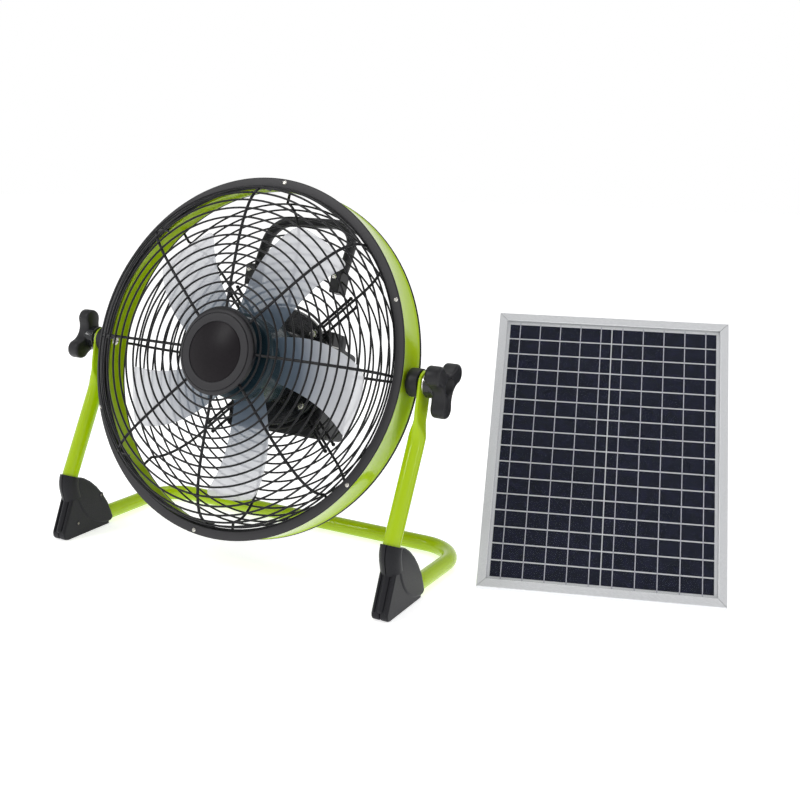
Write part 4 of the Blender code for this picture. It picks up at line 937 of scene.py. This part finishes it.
# ---- stand tube
boss_low, boss_high = extent(SIDES["right"], "right_spacer_boss")
washer_low, washer_high = extent(SIDES["right"], "right_washer")
tube_low, tube_high = extent(STAND, "stand_tube")
LEG_X = (boss_high.z + washer_low.z) / 2
TUBE_RADIUS = 0.0110
PLATE_TOP = 0.0160
PLATE_HALF_WIDTH = 0.0160
PLATE_HALF_THICKNESS = 0.0025
FLAT_END = 0.058
PINCH_LENGTH = 0.026
FLARE_LENGTH = 0.040
LEG_UPPER = (-0.012, 0.215)
LEG_KNEE = (-0.080, 0.080)
LEG_HEEL = (-0.064, 0.014)
REAR_RUN_HEIGHT = 0.0108
REAR_CORNER = 0.055


def tube_path():
    """The tube's middle line, from the right leg's top round behind the fan to the left leg's top."""
    upper = Vector((LEG_X, *LEG_UPPER))
    pivot = Vector((LEG_X, 0, PIVOT.z))
    top = pivot + (pivot - upper).normalized() * PLATE_TOP
    rear = Vector((LEG_X, tube_high.y - TUBE_RADIUS, REAR_RUN_HEIGHT))
    right = [top, upper, Vector((LEG_X, *LEG_KNEE)), Vector((LEG_X, *LEG_HEEL)), rear]
    corners = right + [Vector((-c.x, c.y, c.z)) for c in reversed(right)]
    radii = (0.150, 0.030, 0.034, REAR_CORNER)
    return rounded_path(corners, radii + radii[::-1])


def ease(value):
    value = max(0.0, min(1.0, value))
    return value * value * (3 - 2 * value)


def make_stand_tube():
    corners = tube_path()
    path = evenly(corners[:2], 0.0016) + evenly(corners[1:-1], 0.0035)[1:-1] + evenly(corners[-2:], 0.0016)
    travelled = [0.0]
    for start, end in zip(path, path[1:]):
        travelled.append(travelled[-1] + (end - start).length)

    def section(index):
        along = min(travelled[index], travelled[-1] - travelled[index])
        pinch = ease((along - FLAT_END) / PINCH_LENGTH)
        flare = ease((along - FLAT_END + 0.010) / FLARE_LENGTH)
        thick = PLATE_HALF_THICKNESS + (TUBE_RADIUS - PLATE_HALF_THICKNESS) * pinch
        wide = PLATE_HALF_WIDTH + (TUBE_RADIUS - PLATE_HALF_WIDTH) * flare
        if along < PLATE_TOP:
            wide *= sqrt(max(0.04, 1 - (1 - along / PLATE_TOP) ** 2))
        power = 2 / (4.5 - 2.5 * pinch)
        points = []
        for a, b in round_section(1.0, 32):
            points.append((copysign(abs(a) ** power, a) * thick, copysign(abs(b) ** power, b) * wide))
        return points

    piece("stand_tube_bent", lambda shape: sweep(shape, path, section), STAND, "stand", GREEN, "green_paint",
          ["stand_tube"], angle=50)

    def buttons(shape):
        profile = [(0, 0.0010), (0.0014, 0.0012), (0.0024, 0.0008), (0.0026, -0.002), (0, -0.002)]
        for sign in (-1, 1):
            place = at(sign * (LEG_X - TUBE_RADIUS + 0.0012), -0.0165, PIVOT.z - 0.0690)
            lathe(shape, profile, 24, place @ Matrix.Rotation(-sign * pi / 2, 4, "Y"))

    piece("leg_buttons", buttons, STAND, "stand", BLACK_PLASTIC, "black_plastic")


# ---- feet
SLEEVE_RADIUS = 0.0138
SLEEVE_TOP = 0.0885
SLEEVE_BOTTOM = 0.0560
SEAM_DEPTH = 0.0016
GUSSET_INSET = 0.0001
TOE_INSET = 0.0016
TOE_HOLLOW_CENTRE = (-0.0100, 0.0700)
TOE_HOLLOW_RADIUS = 0.0670
TOE_FRONT_TOP = (-0.0822, 0.0590)
TOE_FRONT_LOW = (-0.1028, 0.0100)
RIB_RADIUS = 0.0046
RIDGE_RADIUS = 0.0017
RIDGE_X = 0.0083
FOOT_WELLS = ((-0.0290, 0.0490, GUSSET_INSET), (-0.0750, 0.0190, TOE_INSET))
WELL_RADIUS = 0.0030


def foot_gusset():
    """The upper part of the foot from the side: behind the sleeve, then round the back down to the floor."""
    back = [(-0.0745, 0.0872), (-0.0590, 0.0823), (-0.0470, 0.0745), (-0.0350, 0.0635), (-0.0240, 0.0500),
            (-0.0145, 0.0350), (-0.0080, 0.0190), (-0.0048, 0.0090), (-0.0060, 0.0050), (-0.0100, 0.0036)]
    hollow = arc(TOE_HOLLOW_CENTRE, TOE_HOLLOW_RADIUS, radians(266), radians(196), 14)
    return back + hollow + [(-0.0800, 0.0600), (-0.0840, 0.0850)]


def foot_toe():
    """The lower part of the foot from the side: a wedge that goes up inside the gusset."""
    sole = [(-0.0130, 0.0), (-0.0950, 0.0), (-0.1000, 0.0014), (-0.1025, 0.0048)]
    return sole + [TOE_FRONT_LOW, TOE_FRONT_TOP, (-0.0700, 0.0620), (-0.0330, 0.0500), (-0.0130, 0.0100)]


def foot_sleeve(shape, path):
    """The round part that grips the tube, with the seam of the two shells down its front."""
    turns = [radians(92.5 + 355 * step / 48) for step in range(49)]
    section = [(SLEEVE_RADIUS * cos(turn), SLEEVE_RADIUS * sin(turn)) for turn in turns]
    section += [(0.0003, SLEEVE_RADIUS - SEAM_DEPTH), (-0.0003, SLEEVE_RADIUS - SEAM_DEPTH)]
    sweep(shape, path, section)


def front_ridge(shape, x, radius, forward, share):
    """A half-round ridge down the toe's front, its axis this far in front of the face."""
    top = Vector((x, *TOE_FRONT_TOP))
    low = Vector((x, *TOE_FRONT_LOW))
    down = (low - top).normalized()
    ahead = Vector((0, down.z, -down.y)) * forward
    path = [top + ahead, top.lerp(low, share) + ahead]
    end = path[-1]
    sizes = [1.0, 1.0]
    for step in range(1, 7):
        turn = step * pi / 13
        path.append(end + down * radius * sin(turn))
        sizes.append(cos(turn))
    sweep(shape, path, lambda index: round_section(radius * sizes[index], 24))


def foot_piece(name, build, look=None, place=PROFILE, replaces=(), **rounding):
    piece(name, build, place, "stand", look or FOOT_PLASTIC, "black_plastic", replaces, **rounding)


def make_foot_shell(side, shell, outward):
    node = f"{side}_foot_{shell}"
    low, high = extent(PROFILE, node)
    seam, far = (low.z, high.z) if outward > 0 else (high.z, low.z)
    gusset_ends = sorted((seam, far - outward * GUSSET_INSET))
    toe_ends = sorted((seam, far - outward * TOE_INSET))
    foot_piece(f"{side}_{shell}_foot_gusset", lambda shape: prism(shape, foot_gusset(), *gusset_ends),
               replaces=[node], bevel=0.0050, segments=6)
    foot_piece(f"{side}_{shell}_foot_toe", lambda shape: prism(shape, foot_toe(), *toe_ends), bevel=0.0016)


def make_foot_wells(side, sign):
    """Sunk screws in the foot's inner side: a raised rim, a near-black disc of painted shade where the hole is,
    and the screw's head in each.
    """
    ends = extent(PROFILE, f"{side}_foot_inner")
    half = abs(ends[0 if sign > 0 else 1].z - sign * LEG_X)
    spots = [at(y, z, sign * (LEG_X - half + inset)) for y, z, inset in FOOT_WELLS]
    if sign > 0:
        spots = [spot @ Matrix.Rotation(pi, 4, "X") for spot in spots]
    outside = WELL_RADIUS + 0.0012
    rim = [(WELL_RADIUS, -0.002), (WELL_RADIUS, 0.0004), (WELL_RADIUS + 0.0006, 0.0004), (outside, -0.0002),
           (outside, -0.002)]
    # Painted shade: a flat near-black disc inside each rim stands for the shade down the hole.
    shade_disc_profile = [(0, 0.0002), (WELL_RADIUS, 0.0002), (WELL_RADIUS, -0.002), (0, -0.002)]

    def rims(shape):
        for spot in spots:
            lathe(shape, rim, 32, spot)

    def shade_discs(shape):
        for spot in spots:
            lathe(shape, shade_disc_profile, 32, spot)

    def screws(shape):
        for spot in spots:
            cross_screw(shape, spot, 0.0019, 0.0006)

    foot_piece(f"{side}_foot_wells", rims)
    # The black wire coat on these discs is painted shade in the wells.
    foot_piece(f"{side}_foot_well_shade_discs", shade_discs, WIRE)
    foot_piece(f"{side}_foot_screws", screws, IRON)


def make_foot(side, sign):
    make_foot_shell(side, "inner", -sign)
    make_foot_shell(side, "outer", sign)
    leg = evenly(tube_path(), 0.0015)
    sleeve = [p for p in leg if p.x * sign > 0 and p.y < 0 and SLEEVE_BOTTOM < p.z < SLEEVE_TOP]
    sleeve.sort(key=lambda p: -p.z)
    foot_piece(f"{side}_foot_sleeve", lambda shape: foot_sleeve(shape, sleeve), place=STAND)

    def ridges(shape):
        middle = sign * LEG_X
        front_ridge(shape, middle, RIB_RADIUS, -0.0012, 0.90)
        front_ridge(shape, middle - RIDGE_X, RIDGE_RADIUS, 0.0002, 0.96)
        front_ridge(shape, middle + RIDGE_X, RIDGE_RADIUS, 0.0002, 0.96)

    foot_piece(f"{side}_foot_ridges", ridges, place=STAND)
    make_foot_wells(side, sign)


# ---- pivots and clamp knobs
KNOB_LOBE = 0.0125
KNOB_WAIST = 0.0165
KNOB_REACH = 0.0400
KNOB_BACK = 0.2730
KNOB_RECESS_RADIUS = 0.0105
KNOB_RECESS_DEPTH = 0.0120
BOLT_RADIUS = 0.0040
BOLT_SEAT = 0.2342
PIVOT_BORE = 0.0044
WASHER_BORE = 0.0046


def knob_outline(turned_by):
    """Three round lobes, each joined to the next by a hollow arc that touches both."""
    lobe_centre = KNOB_REACH - KNOB_LOBE
    drop = KNOB_WAIST - KNOB_LOBE
    waist_centre = (lobe_centre**2 - drop**2) / (lobe_centre - 2 * drop)
    waist_radius = waist_centre - KNOB_WAIST
    outline = []
    for lobe in range(3):
        middle = turned_by + lobe * tau / 3
        centre = Vector((lobe_centre * cos(middle), lobe_centre * sin(middle)))
        ahead = Vector((waist_centre * cos(middle + pi / 3), waist_centre * sin(middle + pi / 3)))
        touching = (ahead - centre).normalized()
        touch_turn = atan2(touching.y, touching.x)
        reach_turn = (touch_turn - middle) % tau
        outline += arc(centre, KNOB_LOBE, middle - reach_turn, middle + reach_turn, 20)
        start = atan2(-touching.y, -touching.x)
        inward = middle + pi / 3 + pi
        half = (start - inward + pi) % tau - pi
        outline += arc(ahead, waist_radius, inward + half, inward - half, 12)[1:-1]
    return outline


def cut_recess(knob, place, face):
    """Cuts the round recess into the knob's outer face."""
    floor, wide = face - KNOB_RECESS_DEPTH, KNOB_RECESS_RADIUS + 0.0014
    profile = [(0, floor), (KNOB_RECESS_RADIUS, floor), (KNOB_RECESS_RADIUS, face - 0.0012)]
    profile += [(wide, face + 0.0002), (wide, face + 0.01), (0, face + 0.01)]
    cutter = add_object("recess", mesh_of("recess", lambda shape: lathe(shape, profile, 64)), place)
    recess = knob.modifiers.new("recess", "BOOLEAN")
    recess.object = cutter
    recess.operation = "DIFFERENCE"
    recess.solver = "EXACT"
    bpy.context.view_layer.update()
    evaluated = knob.evaluated_get(bpy.context.evaluated_depsgraph_get())
    finished = bpy.data.meshes.new_from_object(evaluated)
    knob.modifiers.clear()
    knob.data = finished
    smoothed(finished, 40)
    bpy.data.objects.remove(cutter)


def make_clamp_knob(side, turned_by):
    place = SIDES[side]
    low, high = extent(place, f"{side}_clamp_knob")

    def lobes(shape):
        prism(shape, knob_outline(turned_by), KNOB_BACK, high.z)

    knob = piece(f"{side}_knob_lobes", lobes, place, f"{side}_knob", BLACK_PLASTIC, "black_plastic",
                 [f"{side}_clamp_knob"], bevel=0.0038, segments=5)
    cut_recess(knob, place, high.z)
    start = low.z + 0.0004
    collar = [(PIVOT_BORE, start)] + arc((0.0155, start + 0.0015), 0.0015, -pi / 2, 0, 4)
    collar += [(0.0166, KNOB_BACK - 0.0010), (0.0176, KNOB_BACK + 0.0020), (0.0176, KNOB_BACK + 0.004)]
    collar.append((PIVOT_BORE, KNOB_BACK + 0.004))
    turned_piece(f"{side}_knob_collar", collar, place, f"{side}_knob", MOTOR_PAINT, "black_plastic", steps=64)


def make_pivot(side, turned_by):
    make_clamp_knob(side, turned_by)
    place = SIDES[side]
    low, high = extent(place, f"{side}_spacer_boss")
    radius = high.x
    boss = [(PIVOT_BORE, low.z), (radius - 0.0035, low.z)]
    boss += arc((radius - 0.003, low.z + 0.003), 0.003, -pi / 2, 0, 6)
    boss += arc((radius - 0.0012, high.z - 0.0012), 0.0012, 0, pi / 2, 4) + [(PIVOT_BORE, high.z)]
    turned_piece(f"{side}_boss_turned", boss, place, "head", BLACK_PLASTIC, "black_plastic",
                 [f"{side}_spacer_boss"], 80)
    low, high = extent(place, f"{side}_washer")
    washer = [(WASHER_BORE, high.z), (high.x - 0.0003, high.z), (high.x, high.z - 0.0003), (high.x, low.z)]
    washer.append((WASHER_BORE, low.z))
    turned_piece(f"{side}_washer_turned", washer, place, "stand", NICKEL, "steel", [f"{side}_washer"], 64)
    low, high = extent(place, f"{side}_pivot_bolt")
    bolt = [(0, low.z), (0.0030, low.z + 0.0002), (0.0050, low.z + 0.0009), (0.0063, low.z + 0.0020)]
    bolt += [(0.0067, BOLT_SEAT), (BOLT_RADIUS, BOLT_SEAT + 0.0002), (BOLT_RADIUS, high.z - 0.0008)]
    bolt += [(0.0033, high.z), (0, high.z)]
    turned_piece(f"{side}_bolt_turned", bolt, place, "head", NICKEL, "steel", [f"{side}_pivot_bolt"], 48)


# ---- solar panel
CELL_MARGIN = 0.0155
CELL_COLUMNS = 2
CELL_ROWS = 16
COLUMN_GAP = 0.0015
ROW_GAP = 0.0019
BUSBARS = 5
RIBBON_HALF_WIDTH = 0.0006
LEG_WIRE = 0.0045


def make_panel():
    low, high = extent(PANEL, "solar_cell_sheet")
    rail_low, rail_high = extent(PANEL, "panel_bottom_rail", "panel_top_rail")
    width, height = rail_high.x - rail_low.x, rail_high.y - rail_low.y
    middle = (rail_low.z + rail_high.z) / 2
    top = high.z - 0.0002
    cell_width = (width - 2 * CELL_MARGIN - COLUMN_GAP) / CELL_COLUMNS
    cell_height = (height - 2 * CELL_MARGIN - ROW_GAP * (CELL_ROWS - 1)) / CELL_ROWS
    lefts = [CELL_MARGIN - width / 2 + column * (cell_width + COLUMN_GAP) for column in range(CELL_COLUMNS)]

    def cells(shape):
        for x in lefts:
            for row in range(CELL_ROWS):
                y = CELL_MARGIN + row * (cell_height + ROW_GAP)
                block(shape, (x, y, low.z), (x + cell_width, y + cell_height, top))

    def ribbons(shape):
        end = CELL_MARGIN - 0.003
        for left in lefts:
            for busbar in range(BUSBARS):
                x = left + cell_width * (busbar + 0.5) / BUSBARS
                block(shape, (x - RIBBON_HALF_WIDTH, end, top), (x + RIBBON_HALF_WIDTH, height - end, high.z))

    def on_side(sign, y):
        """Axes on the middle of the frame's left or right side."""
        side = axes((0, 0, -sign), (0, 1, 0), (sign, 0, 0), (sign * width / 2, 0, 0))
        return side @ at(-sign * middle, y, 0)

    def eyelets(shape):
        profile = [(0, 0.0002), (0.0016, 0.0002), (0.0018, 0.0006), (0.0026, 0.0005), (0.0028, -0.0005)]
        profile.append((0, -0.0005))
        for sign in (-1, 1):
            lathe(shape, profile, 24, on_side(sign, height / 2))

    piece("silicon_cells", cells, PANEL, "panel", SILICON, "solar_cells", ["solar_cell_sheet"])
    piece("cell_ribbons", ribbons, PANEL, "panel", BUSBAR, "solar_cells")
    spots = [on_side(sign, y) for sign in (-1, 1) for y in (0.008, height - 0.008)]
    screw_piece("panel_corner_screws", spots, 0.0026, 0.0010, PANEL, "panel")
    piece("panel_eyelets", eyelets, PANEL, "panel", EDGE_PAINT, "steel")


def make_support_leg():
    """A bent wire with two arms and a bar, its axes' origin on the fold line and -Y down the arms."""
    inverse = PANEL.inverted()
    pivot = inverse @ Vector(joints["rear_leg_fold"]["pos_m"])
    corners = [inverse @ v.co for v in frame["nodes"]["support_leg"].data.vertices]
    bar = [c for c in corners if abs(c.x) < 0.115]
    middle = sum(bar, Vector()) / len(bar)
    arm_x = max(c.x for c in corners) - LEG_WIRE
    reach = Vector((0, middle.y - pivot.y, middle.z - pivot.z))
    length = reach.length
    up = -reach.normalized()
    local = axes(ACROSS, up, ACROSS.cross(up), (0, pivot.y, pivot.z))
    path = rounded_path([(arm_x, 0.006, 0), (arm_x, -length, 0), (-arm_x, -length, 0), (-arm_x, 0.006, 0)],
                        (0.018, 0.018))
    piece("support_leg_tube", lambda shape: sweep(shape, path, round_section(LEG_WIRE, 16)), PANEL @ local,
          "rear_leg", RAIL_ACROSS, "aluminium", ["support_leg"], angle=50)


# ---- carried-over nodes
def refinish_nodes():
    refinish(RAIL_ACROSS, "panel_bottom_rail", "panel_top_rail")
    refinish(RAIL_UP, "panel_left_rail", "panel_right_rail")
    refinish(WHITE_SHEET, "panel_backsheet")
    refinish(GLASS, "panel_glass")
    refinish(BLACK_PLASTIC, "junction_box", "junction_lid", "cable_gland", "charge_socket")
    refinish(STEEL, "left_leg_bracket", "right_leg_bracket", "left_leg_pin", "right_leg_pin", "usb_socket",
             "speed_control", "motor_shaft", "front_bearing", "rear_bearing")
    refinish(IRON, "stator", "rotor_magnet")
    refinish(BRASS, "left_knob_nut", "right_knob_nut")
    refinish(WRAP, "battery_pack")
    refinish(BOARD, "control_board")
    refinish(RED_LENS, "charge_lens")


# ---- floor and light
def make_floor():
    mesh = bpy.data.meshes.new("floor")
    shape = bmesh.new()
    bmesh.ops.create_circle(shape, cap_ends=True, segments=96, radius=9.0)
    shape.to_mesh(mesh)
    shape.free()
    made, tree, shader = new_material("pale_floor")
    set_inputs(tree, shader, {
        "Base Color": (0.88, 0.88, 0.88, 1),
        "Roughness": 0.9,
        "Specular IOR Level": 0.1,
        "Emission Color": (1, 1, 1, 1),
        "Emission Strength": 0.62,
    })
    mesh.materials.append(made)
    add_object("floor", mesh, Matrix.Translation((0, 0, -0.0002)))


def softbox(name, place, aim, size, power):
    data = bpy.data.lights.new(name, "AREA")
    data.shape = "RECTANGLE"
    data.size, data.size_y = size
    data.energy = power
    turn = (Vector(aim) - Vector(place)).to_track_quat("-Z", "Y").to_matrix().to_4x4()
    add_object(name, data, Matrix.Translation(place) @ turn)


def make_light():
    world = bpy.data.worlds.new("studio")
    world.use_nodes = True
    tree = world.node_tree
    direction = add_node(tree, "TexCoord", {}).outputs["Generated"]
    height = add_node(tree, "SeparateXYZ", {"Vector": direction}).outputs["Z"]
    sky = ramp(tree, height, [(0.26, (1.0, 1.0, 1.0)), (0.62, (0.38, 0.38, 0.38))])
    set_inputs(tree, tree.nodes["Background"], {"Color": sky, "Strength": 1.0})
    bpy.context.scene.world = world
    bpy.context.scene.view_settings.view_transform = "Standard"
    middle = (0, 0, 0.2)
    softbox("key", (-1.6, -2.2, 2.4), middle, (0.5, 1.4), 24)
    softbox("side", (2.6, -0.6, 1.6), middle, (0.3, 1.8), 7)
    softbox("top", (0.0, 0.6, 3.0), middle, (2.2, 2.2), 20)


make_drum()
make_rim_band()
make_front_guard()
make_rear_guard()
make_hub_cover()
make_motor()
make_fan()
make_case_front()
make_case_rear()
make_speed_dial()
make_handle()
make_stand_tube()
make_foot("left", -1)
make_foot("right", 1)
make_pivot("left", radians(90))
make_pivot("right", radians(-96))
make_panel()
make_support_leg()
refinish_nodes()
make_floor()
make_light()
